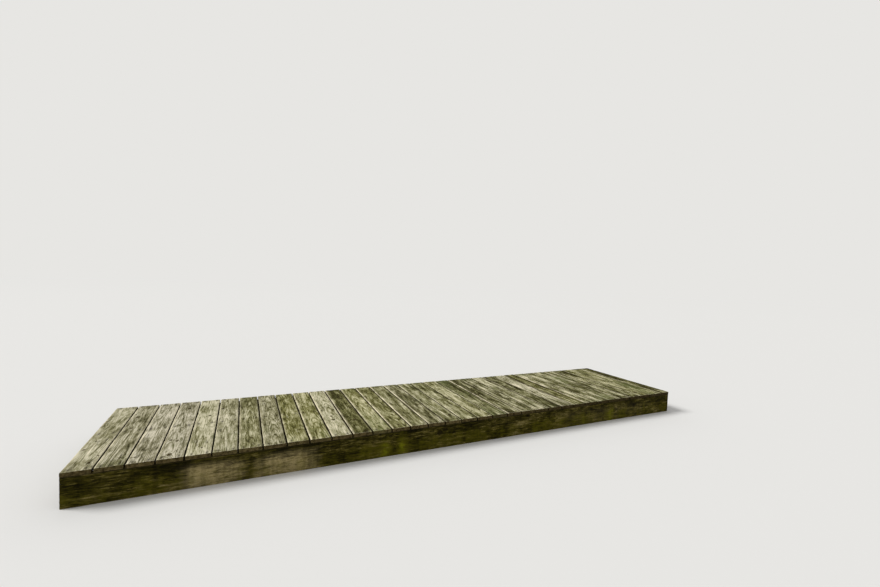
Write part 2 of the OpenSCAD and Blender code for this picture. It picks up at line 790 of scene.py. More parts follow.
        # Bleached worn edges; along the deck boards' lit edges and on the near beam's pale patches this is
        # also painted highlight and painted sunlight
        worn = wiring.trait(Trait.WEAR_AND_HIGHLIGHT) * wiring.span(wiring.noise(fibre, self.FLECKS), *self.FLECKED)
        bleached_and_lit = worn * wiring.span(light, *self.HARD) * self.COVER["bleach_and_highlight"]
        return wiring.blend(bleached_and_lit, colour, self.bleach_and_highlight)

    def drip_marks(self, wiring: Wiring, colour: Signal) -> Signal:
        """Adds the streaks below the gaps between boards.

        Args:
            wiring: The material's tree.
            colour: Colour of the face without them.

        Returns:
            The streaked colour.
        """
        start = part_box(NEAR_BEAM)[0].x
        drip = DripMarks().place(wiring, Place=wiring.place(), First=start + PITCH, Pitch=PITCH)
        colour = wiring.blend(drip["Mask"] * self.drips, colour, self.dirt_and_shade)
        return wiring.blend(drip["Broad"] * (self.COVER["broad drips"] * self.drips), colour, self.dark)

    def aged(self, wiring: Wiring, colour: Signal, light: Signal, checks: Signal) -> Signal:
        """Adds shelter, end grain, growth, cracks, dirt and painted shade.

        Args:
            wiring: The material's tree.
            colour: Colour of the weathered faces.
            light: Lightness of the figure.
            checks: Mask of the hair cracks.

        Returns:
            The finished colour.
        """
        fibre = wiring.trait(Trait.FIBRE)
        under = wiring.blend(wiring.span(light, *self.DULL), self.dirt_and_shade, self.under)
        colour = wiring.blend(wiring.trait(Trait.SHELTER), colour, under)
        sawn = SawnEnd().place(wiring, Fibre=fibre, Ring=wiring.trait(Trait.RING), Grain=self.grain)
        end = wiring.blend(wiring.span(sawn["Light"], *self.DULL), self.dirt_and_shade, self.end)
        colour = wiring.blend(sawn["Mask"], colour, end)
        if self.drips:
            colour = self.drip_marks(wiring, colour)
        spread = wiring.stretch(wiring.place(), self.growth_shape)
        film = AlgaeFilm().place(wiring, Fibre=fibre, Patch=spread, Film=wiring.trait(Trait.FILM))
        held = (1.0 - sawn["Mask"] * self.END_LOSS) * wiring.span(light, *self.HOLDS)
        fresh = wiring.span(light, *self.GREEN)
        for mask, cover, green in (("Mask", "film", self.film), ("Thick", "growth", self.growth)):
            grown = wiring.blend(fresh, self.dark, green)
            colour = wiring.blend(film[mask] * held * self.COVER[cover], colour, grown)
        colour = wiring.blend(checks * self.COVER["checks"], colour, self.dirt_and_shade)
        colour = wiring.blend(wiring.trait(Trait.STAIN) * self.COVER["stain"], colour, self.dirt_and_shade)
        # Painted shade in cracks, gaps and crevices, with some dirt, in the darkest colour
        return wiring.blend(wiring.trait(Trait.SHADE_AND_DIRT), colour, self.dirt_and_shade)

    def build(self) -> bpy.types.Material:
        """Builds the material.

        Returns:
            The new material.
        """
        material, wiring, shader = new_material(self.title)
        fibre = wiring.trait(Trait.FIBRE)
        figure = TimberFigure().place(
            wiring,
            Fibre=fibre,
            Ring=wiring.trait(Trait.RING),
            Knot=wiring.trait(Trait.KNOT),
            Rings=self.rings,
            Streaks=wiring.trait(Trait.STREAKS) * self.streaks,
            Bands=wiring.trait(Trait.BANDS),
        )
        light = figure["Light"]
        checks = DryingChecks().place(wiring, Fibre=fibre, Amount=self.checks)["Mask"]
        colour = self.aged(wiring, self.weathered(wiring, figure), light, checks)
        relief = figure["Relief"] - checks * self.CHECK_DEPTH
        wiring.feed(shader["Base Color"], colour)
        wiring.feed(shader["Roughness"], wiring.span(light, *self.ROUGHNESS))
        wiring.feed(shader["Specular IOR Level"], self.gloss)
        wiring.feed(shader["Normal"], wiring.bump(relief, self.BUMP_STRENGTH, self.bump))
        return material


@dataclass(frozen=True)
class NailFinish:
    """Dull iron that has rusted flat.

    Attributes:
        title: Name of the material.
        slot: The record's material slot.
        iron: Bare iron.
        rust: Rust.
        dark: The darkest rust.
        bump: Depth of the pits in metres.
    """

    title: str = "rusted_iron"
    slot: str = "nails"
    iron: Colour = paint(56, 52, 46)
    rust: Colour = paint(66, 47, 30)
    dark: Colour = paint(32, 26, 19)
    bump: float = 0.0004

    PATCHES: ClassVar[Layer] = Layer((180.0, 180.0, 180.0), 4.0, 0.65)
    PITS: ClassVar[Layer] = Layer((1400.0, 1400.0, 1400.0), 3.0, 0.7)
    STOPS: ClassVar[tuple[float, ...]] = (0.35, 0.5, 0.68)
    ROUGHNESS: ClassVar[Step] = (0.35, 0.7, 0.9, 0.55)
    BARE_METAL: ClassVar[Step] = (0.5, 0.75, 0.0, 0.3)
    BUMP_STRENGTH: ClassVar[float] = 0.6

    def build(self) -> bpy.types.Material:
        """Builds the material.

        Returns:
            The new material.
        """
        material, wiring, shader = new_material(self.title)
        patch = wiring.noise(wiring.place(), self.PATCHES)
        pits = wiring.noise(wiring.place(), self.PITS)
        colour = wiring.ramp(patch, *zip(self.STOPS, (self.dark, self.rust, self.iron)))
        wiring.feed(shader["Base Color"], colour)
        wiring.feed(shader["Roughness"], wiring.span(patch, *self.ROUGHNESS))
        wiring.feed(shader["Metallic"], wiring.span(patch, *self.BARE_METAL))
        wiring.feed(shader["Normal"], wiring.bump(pits, self.BUMP_STRENGTH, self.bump))
        return material


def new_material(title: str) -> tuple[bpy.types.Material, Wiring, bpy.types.NodeInputs]:
    """Makes a material with one Principled shader.

    Args:
        title: Its name.

    Returns:
        The material, the wiring of its tree and the shader's inputs.
    """
    material = bpy.data.materials.new(title)
    material.use_nodes = True
    return material, Wiring(material.node_tree), material.node_tree.nodes["Principled BSDF"].inputs


def new_object(
    name: str,
    points: Sequence[Sequence[float]],
    faces: Sequence[Sequence[int]],
    material: bpy.types.Material,
) -> bpy.types.Object:
    """Makes a mesh object and puts it into the scene.

    Args:
        name: Name of the object and its mesh.
        points: Its points.
        faces: Numbers of the points of each face.
        material: Its finish.

    Returns:
        The new object, shaded smooth between its sharp edges.
    """
    mesh = bpy.data.meshes.new(name)
    mesh.from_pydata(points, [], faces)
    mesh.shade_smooth()
    mesh.set_sharp_from_angle(angle=SHARP_TURN)
    mesh.materials.append(material)
    made = bpy.data.objects.new(name, mesh)
    bpy.context.scene.collection.objects.link(made)
    return made


# Nodes of the frame, and what is measured from them
NEAR_BEAM = "near_beam"
BEAM_NODES = (NEAR_BEAM, "centre_beam", "far_beam")
BOARD_NODES = sorted(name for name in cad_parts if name.startswith("deck_board_"))
BLOCK_NODES = sorted(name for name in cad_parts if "_block_" in name)
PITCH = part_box(BOARD_NODES[1])[0].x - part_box(BOARD_NODES[0])[0].x

DECK_FINISH = TimberFinish(
    title="weathered_deck",
    slot="deck_boards",
    dark=paint(57, 55, 24),
    middle=paint(131, 128, 82),
    light=paint(204, 199, 164),
    # Bleached wood, and the colour of the painted highlight along the boards' lit edges
    bleach_and_highlight=paint(240, 229, 194),
    under=paint(100, 88, 56),
    end=paint(116, 102, 66),
    knot=paint(80, 62, 38),
    # Dirt, and the colour of the painted shade in cracks and gaps
    dirt_and_shade=paint(35, 26, 9),
    film=paint(110, 116, 72),
    growth=paint(100, 114, 50),
    grain=(0.0, 1.0, 0.0),
    rings=0.28,
    streaks=1.65,
    checks=0.5,
    patches=0.45,
    drips=0.0,
    growth_shape=(7.0, 7.0, 7.0),
    bump=0.0012,
    gloss=0.03,
)
BEAM_FINISH = TimberFinish(
    title="damp_beam",
    slot="beams",
    dark=paint(21, 19, 4),
    middle=paint(51, 47, 10),
    light=paint(98, 89, 30),
    # Bleached wood, made lighter for the painted sunlight on the near beam's pale patches
    bleach_and_highlight=paint(172, 156, 108),
    under=paint(88, 74, 42),
    end=paint(88, 75, 44),
    knot=paint(40, 31, 16),
    # Dirt, and the colour of the painted shadow line below the board ends
    dirt_and_shade=paint(17, 14, 5),
    film=paint(88, 84, 16),
    growth=paint(134, 137, 22),
    grain=(1.0, 0.0, 0.0),
    rings=0.5,
    streaks=1.7,
    checks=0.45,
    patches=0.5,
    drips=0.5,
    growth_shape=(19.0, 19.0, 3.0),
    bump=0.0014,
    gloss=0.03,
)
BLOCK_FINISH = TimberFinish(
    title="sheltered_block",
    slot="blocking",
    dark=paint(58, 46, 28),
    middle=paint(92, 76, 48),
    light=paint(122, 104, 70),
    bleach_and_highlight=paint(140, 122, 88),
    under=paint(92, 76, 48),
    end=paint(90, 74, 46),
    knot=paint(56, 40, 24),
    dirt_and_shade=paint(28, 22, 13),
    film=paint(86, 86, 44),
    growth=paint(104, 110, 44),
    grain=(0.0, 1.0, 0.0),
    rings=0.45,
    streaks=1.2,
    checks=0.35,
    patches=0.45,
    drips=0.0,
    growth_shape=(9.0, 9.0, 9.0),
    bump=0.0012,
    gloss=0.15,
)


@dataclass(frozen=True)
class Spots:
    """Places in a piece of timber, in its own directions.

    Attributes:
        across: Across it, from its middle.
        along: Along it, from its middle.
        up: Up from the face that it rests on.
    """

    across: np.ndarray
    along: np.ndarray
    up: np.ndarray


@dataclass(frozen=True)
class Knot:
    """A knot in a piece of timber.

    Attributes:
        wide: Its place over the wide face, from the face's middle.
        along: Its place along the timber, from the middle.
        radius: Its radius across the grain.
    """

    wide: float
    along: float
    radius: float

    STRETCH: ClassVar[float] = 1.35

    @property
    def length(self) -> float:
        """Its radius along the grain."""
        return self.STRETCH * self.radius

    def reach(self, wide: np.ndarray, along: np.ndarray) -> np.ndarray:
        """Distance from the knot in knot radii."""
        return np.hypot((wide - self.wide) / self.radius, (along - self.along) / self.length)


@dataclass(frozen=True)
class Split:
    """A crack that opened along the grain as the timber dried.

    Attributes:
        wide: Its place over the wide face, from the face's middle.
        start: Where it starts along the timber, past the end for one that runs out of it.
        stop: Where it stops along the timber.
        depth: Its depth where it is open widest.
    """

    wide: float
    start: float
    stop: float
    depth: float

    LIP: ClassVar[float] = 0.0009
    TAPER: ClassVar[float] = 0.4

    def groove(self, wide: np.ndarray, along: np.ndarray) -> np.ndarray:
        """Measures the crack.

        Args:
            wide: Places over the wide face.
            along: Places along the timber.

        Returns:
            The crack's depth at each place.
        """
        taper = self.TAPER * (self.stop - self.start)
        gape = ease(along, self.start, self.start + taper) * ease(along, self.stop, self.stop - taper)
        return self.depth * gape * np.clip(1 - np.abs(wide - self.wide) / self.LIP, 0.0, 1.0)


@dataclass(frozen=True)
class Wear:
    """How far weather has eaten into a kind of timber, in metres.

    Attributes:
        grain: Soft wood lost between the harder lines.
        cup: How far the middle of the upper face has sunk.
        edge: Wear of the long edges.
        chip: Depth of the deepest chips in them.
        end: Wear of the sawn ends' edges.
        saw: Unevenness of the sawn ends.
    """

    grain: float
    cup: float
    edge: float
    chip: float
    end: float
    saw: float


class Run(Enum):
    """Which way a piece of timber runs, and which of its faces is the wide one."""

    FLAT_ACROSS = "flat, across the walkway"
    EDGE_ACROSS = "on edge, across the walkway"
    EDGE_ALONG = "on edge, along the span"


class Side(IntEnum):
    """A long side of a piece of timber, seen along its run."""

    LEFT = -1
    NEITHER = 0
    RIGHT = 1


def places(
    low: float,
    high: float,
    step: float,
    exact: Iterable[float],
    near: Iterable[float] = (),
) -> np.ndarray:
    """Spaces mesh lines over a length.

    Args:
        low: Lowest place.
        high: Highest place.
        step: About how far apart the plain lines lie.
        exact: Places that get a line of their own.
        near: Places that get one where no line is close by.

    Returns:
        The places in order.
    """
    plain = np.linspace(low, high, max(2, round((high - low) / step) + 1))
    kept = [low, high]
    for wanted, room in ((exact, HAIR), (near, LINE_ROOM), (plain, PLAIN_ROOM * step)):
        for place in wanted:
            if low < place < high and np.min(np.abs(np.array(kept) - place)) > room:
                kept.append(place)
    return np.array(sorted(kept))


def shell(counts: tuple[int, ...]) -> np.ndarray:
    """Quads over the surface of a box of lattice points, facing outwards.

    Args:
        counts: Lattice points across, along and up the box.

    Returns:
        The quads, as numbers of lattice points.
    """
    sides = []
    for fixed, (first, second) in ((2, (0, 1)), (1, (2, 0)), (0, (1, 2))):
        one, two = np.meshgrid(np.arange(counts[first] - 1), np.arange(counts[second] - 1), indexing="ij")
        for level in (counts[fixed] - 1, 0):
            corners = []
            for step_one, step_two in ((0, 0), (1, 0), (1, 1), (0, 1)):
                spot = {first: one + step_one, second: two + step_two, fixed: np.full(one.shape, level)}
                corners.append(np.ravel_multi_index([spot[way].ravel() for way in range(3)], counts))
            quads = np.stack(corners, 1)
            sides.append(quads if level else quads[:, ::-1])
    return np.concatenate(sides)


@dataclass
class Timber:
    """A weathered piece of sawn timber, on the outline of one solid of the frame.

    Attributes:
        node: The node that it stands for.
        run: Which way it lies.
        edge: Radius of its long edges.
        wear: How far weather has eaten into it.
        seed: Number that its figure and wear are drawn from.
        step: Spacing of the mesh along it.
        fine: Spacing of the mesh over its wide face.
        ring_width: Distance between two growth rings.
        knots: Its knots.
        splits: Its open cracks, on the upper or the outer face.
        tone: Lightness against its neighbours, from -1 to 1.
        warmth: How deep its colour is, from -1 for a faint one, as of silvered wood, to 1.
        bands: Strength of the broad light and dark bands along the grain.
        streaks: Strength of the streaks, as a share of the finish's.
    """

    node: str
    run: Run
    edge: float
    wear: Wear
    seed: int
    step: float = 0.024
    fine: float = 0.006
    ring_width: float = 0.0045
    knots: Sequence[Knot] = ()
    splits: Sequence[Split] = ()
    tone: float = 0.0
    warmth: float = 0.0
    bands: float = 0.3
    streaks: float = 1.0

    # Mesh lines round a knot, in its radii, in a rounded edge, in shares of its radius, and next to an end
    KNOT_LINES: ClassVar[tuple[float, ...]] = (0.0, -0.6, 0.6, -1.2, 1.2, -2.2, 2.2)
    EDGE_LINES: ClassVar[tuple[float, ...]] = (0.15, 0.5, 1.0)
    END_LINES: ClassVar[tuple[float, ...]] = (0.0012, 0.004, 0.009)

    # Mesh cells over the thickness of a piece that lies flat, and of one on edge
    FLAT_CELLS: ClassVar[int] = 4
    EDGE_CELLS: ClassVar[int] = 5

    # Where the log's heart lies: to either side, over or under, and at a slant; and how it wanders
    HEART_ASIDE: ClassVar[float] = 0.05
    HEART_AWAY: ClassVar[Pair] = (0.05, 0.13)
    HEART_SLANT: ClassVar[float] = 0.035
    HEART_BOW: ClassVar[Grid] = Grid(((0.38, 0),), 0.006)
    HEART_RISE: ClassVar[Grid] = Grid(((0.5, 40),), 0.007)

    # How far a knot bends the rings, in its radii, and by how many, and how far off it counts at most
    KNOT_BEND: ClassVar[Pair] = (1.7, 2.2)
    KNOT_FAR: ClassVar[float] = 4.0

    # Loss of soft wood, in shares of the wear: its mean and waves, and how near and how far a knot stops it
    MEAN_LOSS: ClassVar[float] = 0.5
    RIDGES: ClassVar[Grid] = Grid(((0.0075, 0), (0.22, 0), (0.02, 0)), 0.35)
    SWELLS: ClassVar[Grid] = Grid(((0.04, 9), (0.3, 5)), 0.3)
    KNOT_STAND: ClassVar[Pair] = (0.9, 0.7)

    # Wear and chips of the long edges: how far they reach, in the edge's radii, and how far apart in the
    # noises the sides, the levels and the heights lie
    EDGE_REACH: ClassVar[float] = 1.3
    EDGE_WEAR: ClassVar[Grid] = Grid(((0.05, 3), (1, 0)), 0.5)
    EDGE_SIDES: ClassVar[float] = 7.5
    EDGE_LEVELS: ClassVar[float] = 3.5
    CHIPS: ClassVar[Grid] = Grid(((0.028, 70), (1, 0)))
    CHIP_SIDES: ClassVar[float] = 5.5
    CHIP_HEIGHTS: ClassVar[float] = 0.05
    CHIPPED: ClassVar[Step] = (0.55, 0.95)

    # Frayed ends: how far in they reach, their mean and how it varies, and the saw's marks on them
    END_REACH: ClassVar[float] = 0.0022
    MEAN_FRAY: ClassVar[float] = 0.6
    FRAYS: ClassVar[Grid] = Grid(((0.006, 21), (0.012, 0)), 0.6)
    SAW_MARKS: ClassVar[Grid] = Grid(((0.012, 3), (0.004, 11), (1, 2)), 0.5)

    # How the mesh follows the grain, how deep a crack is where its painted shade is full, and how far apart
    # the figures are drawn
    GRAIN_BOW: ClassVar[Grid] = Grid(((0.3, 60),), 0.003)
    CRACK_SHADE_DEPTH: ClassVar[float] = 0.0015
    FIGURE_ROOM: ClassVar[float] = 40.0

    # How far bare edges reach, in the edge's radii, and what is added to the distance from the ends
    BARE_REACH: ClassVar[float] = 1.1
    BARE_END: ClassVar[float] = 0.004

    def __post_init__(self) -> None:
        """Measures the solid and prepares the piece's own noise."""
        low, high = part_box(self.node)
        size = high - low
        lengthwise = self.run is Run.EDGE_ALONG
        self.flat = self.run is Run.FLAT_ACROSS
        self.centre = (low + high) / 2
        self.floor = low.z
        self.width = size.y if lengthwise else size.x
        self.length = size.x if lengthwise else size.y
        self.height = size.z
        self.noise = Noise(self.seed)
        self.draw = np.random.default_rng(self.seed)

    @property
    def name(self) -> str:
        """Name of the piece."""
        return "weathered_" + self.node.removeprefix("deck_")

    def wide(self, spots: Spots) -> np.ndarray:
        """Place over the wide face, from its middle."""
        return spots.across if self.flat else spots.up - self.height / 2

    def on_top(self, spots: Spots) -> np.ndarray:
        """1 on the upper face, and 0 elsewhere."""
        return (spots.up > self.height - HAIR).astype(float)

    def on_sides(self, spots: Spots) -> np.ndarray:
        """1 on the two long sides, and 0 elsewhere."""
        return (np.abs(spots.across) > self.width / 2 - HAIR).astype(float)

    def on_ends(self, spots: Spots) -> np.ndarray:
        """1 on the two ends, and 0 elsewhere."""
        return (np.abs(spots.along) > self.length / 2 - HAIR).astype(float)

    def lines(self) -> tuple[np.ndarray, ...]:
        """Lays out the mesh lines.

        Returns:
            Places of the lines across, along and up the timber.
        """
        arcs = [share * self.edge for share in self.EDGE_LINES]
        across = [turn * (self.width / 2 - arc) for arc in arcs for turn in (-1, 1)]
        along = [turn * (self.length / 2 - gap) for gap in self.END_LINES for turn in (-1, 1)]
        up = arcs + [self.height - arc for arc in arcs]
        cracks = [split.wide + turn * split.LIP for split in self.splits for turn in (-1, 0, 1)]
        flaws = [knot.wide + turn * knot.radius for knot in self.knots for turn in self.KNOT_LINES]
        flaws += self.face_lines()
        flaws_along = [knot.along + turn * knot.length for knot in self.knots for turn in self.KNOT_LINES]
        flaws_along += self.along_lines()
        half, middle = self.width / 2, self.height / 2
        lines_along = places(-self.length / 2, self.length / 2, self.step, along, flaws_along)
        if self.flat:
            lines_across = places(-half, half, self.fine, across + cracks, flaws)
            return lines_across, lines_along, places(0.0, self.height, self.height / self.FLAT_CELLS, up)
        lifted = up + [place + middle for place in cracks]
        lines_up = places(0.0, self.height, self.fine, lifted, [place + middle for place in flaws])
        return places(-half, half, self.width / self.EDGE_CELLS, across), lines_along, lines_up

    def face_lines(self) -> list[float]:
        """Further mesh lines over the wide face, from its middle."""
        return []

    def along_lines(self) -> list[float]:
        """Further mesh lines along the timber, from its middle."""
        return []

    def rings(self, spots: Spots) -> np.ndarray:
        """Counts the growth rings from the heart of the log.

        Args:
            spots: Where to count.

        Returns:
            The number of the ring at each spot.
        """
        aside = self.draw.uniform(-self.HEART_ASIDE, self.HEART_ASIDE)
        away = self.draw.choice([-1, 1]) * self.draw.uniform(*self.HEART_AWAY)
        slant = self.draw.uniform(-self.HEART_SLANT, self.HEART_SLANT)
        bow = self.noise.at(self.HEART_BOW, spots.along)
        rise = self.noise.at(self.HEART_RISE, spots.along) + slant * spots.along
        ring = np.hypot(spots.across - aside - bow, spots.up - away - rise) / self.ring_width
        for knot in self.knots:
            ring = ring + bell(knot.reach(self.wide(spots), spots.along), *self.KNOT_BEND)
        return ring

    def knot_reach(self, spots: Spots) -> np.ndarray:
        """Distance to the nearest knot, in its radii."""
        reaches = [knot.reach(self.wide(spots), spots.along) for knot in self.knots]
        return np.min([np.full(spots.up.shape, self.KNOT_FAR)] + reaches, axis=0)

    def to_edge(self, spots: Spots) -> np.ndarray:
        """Distance over the surface to the nearest long edge."""
        return self.width / 2 - np.abs(spots.across) + np.minimum(spots.up, self.height - spots.up)

    def to_end(self, spots: Spots) -> np.ndarray:
        """Distance to the nearest end."""
        return self.length / 2 - np.abs(spots.along)

    def to_top(self, spots: Spots) -> np.ndarray:
        """Distance up to the upper face."""
        return self.height - spots.up

    def bared_and_lit(self, spots: Spots) -> np.ndarray:
        """How far each spot is worn bare and bleached, from 0 to 1."""
        edge = np.minimum(self.to_edge(spots), self.to_end(spots) + self.BARE_END)
        return bell(edge, self.BARE_REACH * self.edge)

    def relief(self, spots: Spots) -> np.ndarray:
        """Works out how far weather has eaten in.

        Args:
            spots: Places on the solid's surface.

        Returns:
            How far the worn surface lies inside it at each spot, in metres.
        """
        wide = self.wide(spots)
        thin = spots.up if self.flat else spots.across
        ridge = self.noise.at(self.RIDGES, wide, spots.along, thin)
        swell = self.noise.at(self.SWELLS, wide, spots.along)
        spared = bell(self.knot_reach(spots), *self.KNOT_STAND)
        sunk = self.wear.grain * (self.MEAN_LOSS + ridge + swell) * (1 - spared)
        side = np.sign(spots.across)
        level = np.sign(spots.up - self.height / 2)
        edge = side * self.EDGE_SIDES + level * self.EDGE_LEVELS
        rough = self.MEAN_LOSS + self.noise.at(self.EDGE_WEAR, spots.along, edge)
        height = side * self.CHIP_SIDES + spots.up / self.CHIP_HEIGHTS
        chip = ease(self.noise.at(self.CHIPS, spots.along, height), *self.CHIPPED)
        near_edge = bell(self.to_edge(spots), self.EDGE_REACH * self.edge)
        near_end = np.exp(-self.to_end(spots) / self.END_REACH)
        frayed = self.MEAN_FRAY + self.noise.at(self.FRAYS, wide, thin)
        sunk = sunk + near_edge * (self.wear.edge * rough + self.wear.chip * chip)
        return np.maximum(sunk + near_end * self.wear.end * frayed, 0.0)

    def grooves(self, spots: Spots) -> np.ndarray:
        """Measures the open cracks.

        Args:
            spots: Places on the solid's surface.

        Returns:
            The cracks' depth at each spot, on the face that they open on.
        """
        depth = np.zeros(spots.up.shape)
        for split in self.splits:
            depth = np.maximum(depth, split.groove(self.wide(spots), spots.along))
        return depth * (self.on_top(spots) if self.flat else self.on_sides(spots))

    def shelter(self, spots: Spots) -> np.ndarray:
        """How far each spot is kept from sun and rain, from 0 to 1."""
        return np.ones(spots.up.shape)

    def film(self, spots: Spots) -> np.ndarray:
        """How much green growth each spot can carry, from 0 to 1."""
        return np.zeros(spots.up.shape)

    def shade_and_dirt(self, spots: Spots) -> np.ndarray:
        """How dark each spot is with dirt and painted shade, from 0 to 1, apart from the cracks."""
        return np.zeros(spots.up.shape)

    def stain(self, spots: Spots) -> np.ndarray:
        """How far iron has stained each spot, from 0 to 1."""
        return np.zeros(spots.up.shape)

    def dimples(self, spots: Spots) -> np.ndarray:
        """Depth of the dents that nails were driven in."""
        return np.zeros(spots.up.shape)

    def outline(self, grid: Spots) -> tuple[Spots, np.ndarray, np.ndarray]:
        """Lays the lattice's sides on the timber's section, with its rounded edges.

        Args:
            grid: The lattice's own places, in a box with sharp edges.

        Returns:
            The places on the section, and the outward direction across and up.
        """
        half = self.width / 2
        core_across = np.clip(grid.across, -half + self.edge, half - self.edge)
        core_up = np.clip(grid.up, self.edge, self.height - self.edge)
        out_across, out_up = grid.across - core_across, grid.up - core_up
        reach = np.maximum(np.hypot(out_across, out_up), HAIR)
        corner = (np.abs(out_across) > HAIR) & (np.abs(out_up) > HAIR)
        scale = np.where(corner, self.edge / reach, 1.0)
        spots = Spots(core_across + out_across * scale, grid.along, core_up + out_up * scale)
        return spots, out_across / reach, out_up / reach

    def lattice(self) -> tuple[np.ndarray, np.ndarray, dict[Trait, np.ndarray]]:
        """Works out the weathered surface.

        Returns:
            The points in the timber's own directions, the quads between them, and the traits of each point.
        """
        lines = self.lines()
        grid = Spots(*np.meshgrid(*lines, indexing="ij"))
        spots, out_across, out_up = self.outline(grid)
        sunk = self.relief(grid) + self.grooves(grid) + self.dimples(grid)
        across = spots.across - out_across * sunk
        up = spots.up - out_up * sunk * (grid.up > HAIR)
        for end in (0, -1):
            self.lay_end(across[:, end, :], up[:, end, :], lines[0], lines[2])
        along = grid.along - np.sign(grid.along) * self.on_ends(grid) * self.saw_marks(grid)
        worn = Spots(across, along, up)
        traits = self.traits(worn, grid)
        worn = self.wander(worn)
        used, quads = np.unique(shell(grid.up.shape), return_inverse=True)
        points = np.stack([worn.across.ravel()[used], worn.along.ravel()[used], worn.up.ravel()[used]], 1)
        picked = {trait: value.reshape(-1, *value.shape[3:])[used] for trait, value in traits.items()}
        return points, quads.reshape(-1, 4), picked

    def saw_marks(self, grid: Spots) -> np.ndarray:
        """How far the sawn ends lie inside the solid's."""
        marks = self.noise.at(self.SAW_MARKS, grid.across, grid.up, np.sign(grid.along))
        return self.wear.saw * (self.MEAN_LOSS + marks)

    def lay_end(
        self,
        across: np.ndarray,
        up: np.ndarray,
        line_across: np.ndarray,
        line_up: np.ndarray,
    ) -> None:
        """Spreads an end's inner points evenly between its worn edges.

        Args:
            across: Places of the end's points across the timber, which are changed.
            up: Their places up it, which are changed.
            line_across: Places of the mesh lines across.
            line_up: Places of the mesh lines up.
        """
        share = ((line_across - line_across[0]) / (line_across[-1] - line_across[0]))[:, None]
        rise = ((line_up - line_up[0]) / (line_up[-1] - line_up[0]))[None, :]
        inner_across = across[0, :][None, :] * (1 - share) + across[-1, :][None, :] * share
        inner_up = up[:, 0][:, None] * (1 - rise) + up[:, -1][:, None] * rise
        across[1:-1, 1:-1] = inner_across[1:-1, 1:-1]
        up[1:-1, 1:-1] = inner_up[1:-1, 1:-1]

    def wander(self, spots: Spots) -> Spots:
        """Lets the mesh lines over the wide face follow the grain, with the edges in place.

        Args:
            spots: Places of the mesh's points.

        Returns:
            Their new places.
        """
        half = (self.width if self.flat else self.height) / 2
        inside = np.clip(1 - (self.wide(spots) / half) ** 2, 0.0, 1.0)
        shift = self.noise.at(self.GRAIN_BOW, spots.along) * inside
        if self.flat:
            return Spots(spots.across + shift, spots.along, spots.up)
        return Spots(spots.across, spots.along, spots.up + shift)

    def traits(self, worn: Spots, grid: Spots) -> dict[Trait, np.ndarray]:
        """Works out what each point carries for the finish.

        Args:
            worn: Places of the points on the worn surface.
            grid: The lattice's own places, before wear.

        Returns:
            One value, or one vector, for each point and trait.
        """
        # Painted shade in the open cracks, fuller where they are deeper
        crack_shade = np.clip(self.grooves(grid) / self.CRACK_SHADE_DEPTH, 0.0, 1.0)
        even = np.ones(grid.up.shape)
        offset = self.draw.uniform(-self.FIGURE_ROOM, self.FIGURE_ROOM, 3)
        return {
            Trait.FIBRE: np.stack([worn.across, worn.along, worn.up], -1) + offset,
            Trait.RING: self.rings(grid),
            Trait.BANDS: even * self.bands,
            Trait.STREAKS: even * self.streaks,
            Trait.KNOT: self.knot_reach(grid),
            Trait.TONE: even * self.tone,
            Trait.WARMTH: even * self.warmth,
            Trait.WEAR_AND_HIGHLIGHT: self.bared_and_lit(grid),
            Trait.SHADE_AND_DIRT: np.maximum(crack_shade, self.shade_and_dirt(grid)),
            Trait.SHELTER: self.shelter(grid),
            Trait.STAIN: self.stain(grid),
            Trait.FILM: self.film(grid),
        }

    def build(self, material: bpy.types.Material, slot: str) -> bpy.types.Object:
        """Makes the piece, dresses it and stands it in for its node.

        Args:
            material: Its finish.
            slot: The record's material slot; not used.

        Returns:
            The new object.
        """
        points, quads, traits = self.lattice()
        across, along, up = points.T
        if self.run is Run.EDGE_ALONG:
            spots = (self.centre.x + along, self.centre.y - across, self.floor + up)
        else:
            spots = (self.centre.x + across, self.centre.y + along, self.floor + up)
        piece = new_object(self.name, np.stack(spots, 1).tolist(), quads.tolist(), material)
        for trait, values in traits.items():
            kind, key = ("FLOAT_VECTOR", "vector") if trait is Trait.FIBRE else ("FLOAT", "value")
            piece.data.attributes.new(trait.value, kind, "POINT").data.foreach_set(key, values.ravel())
        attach(piece, BODY)
        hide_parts(self.node)
        LOG.info("%s: %d quads", self.name, len(quads))
        return piece


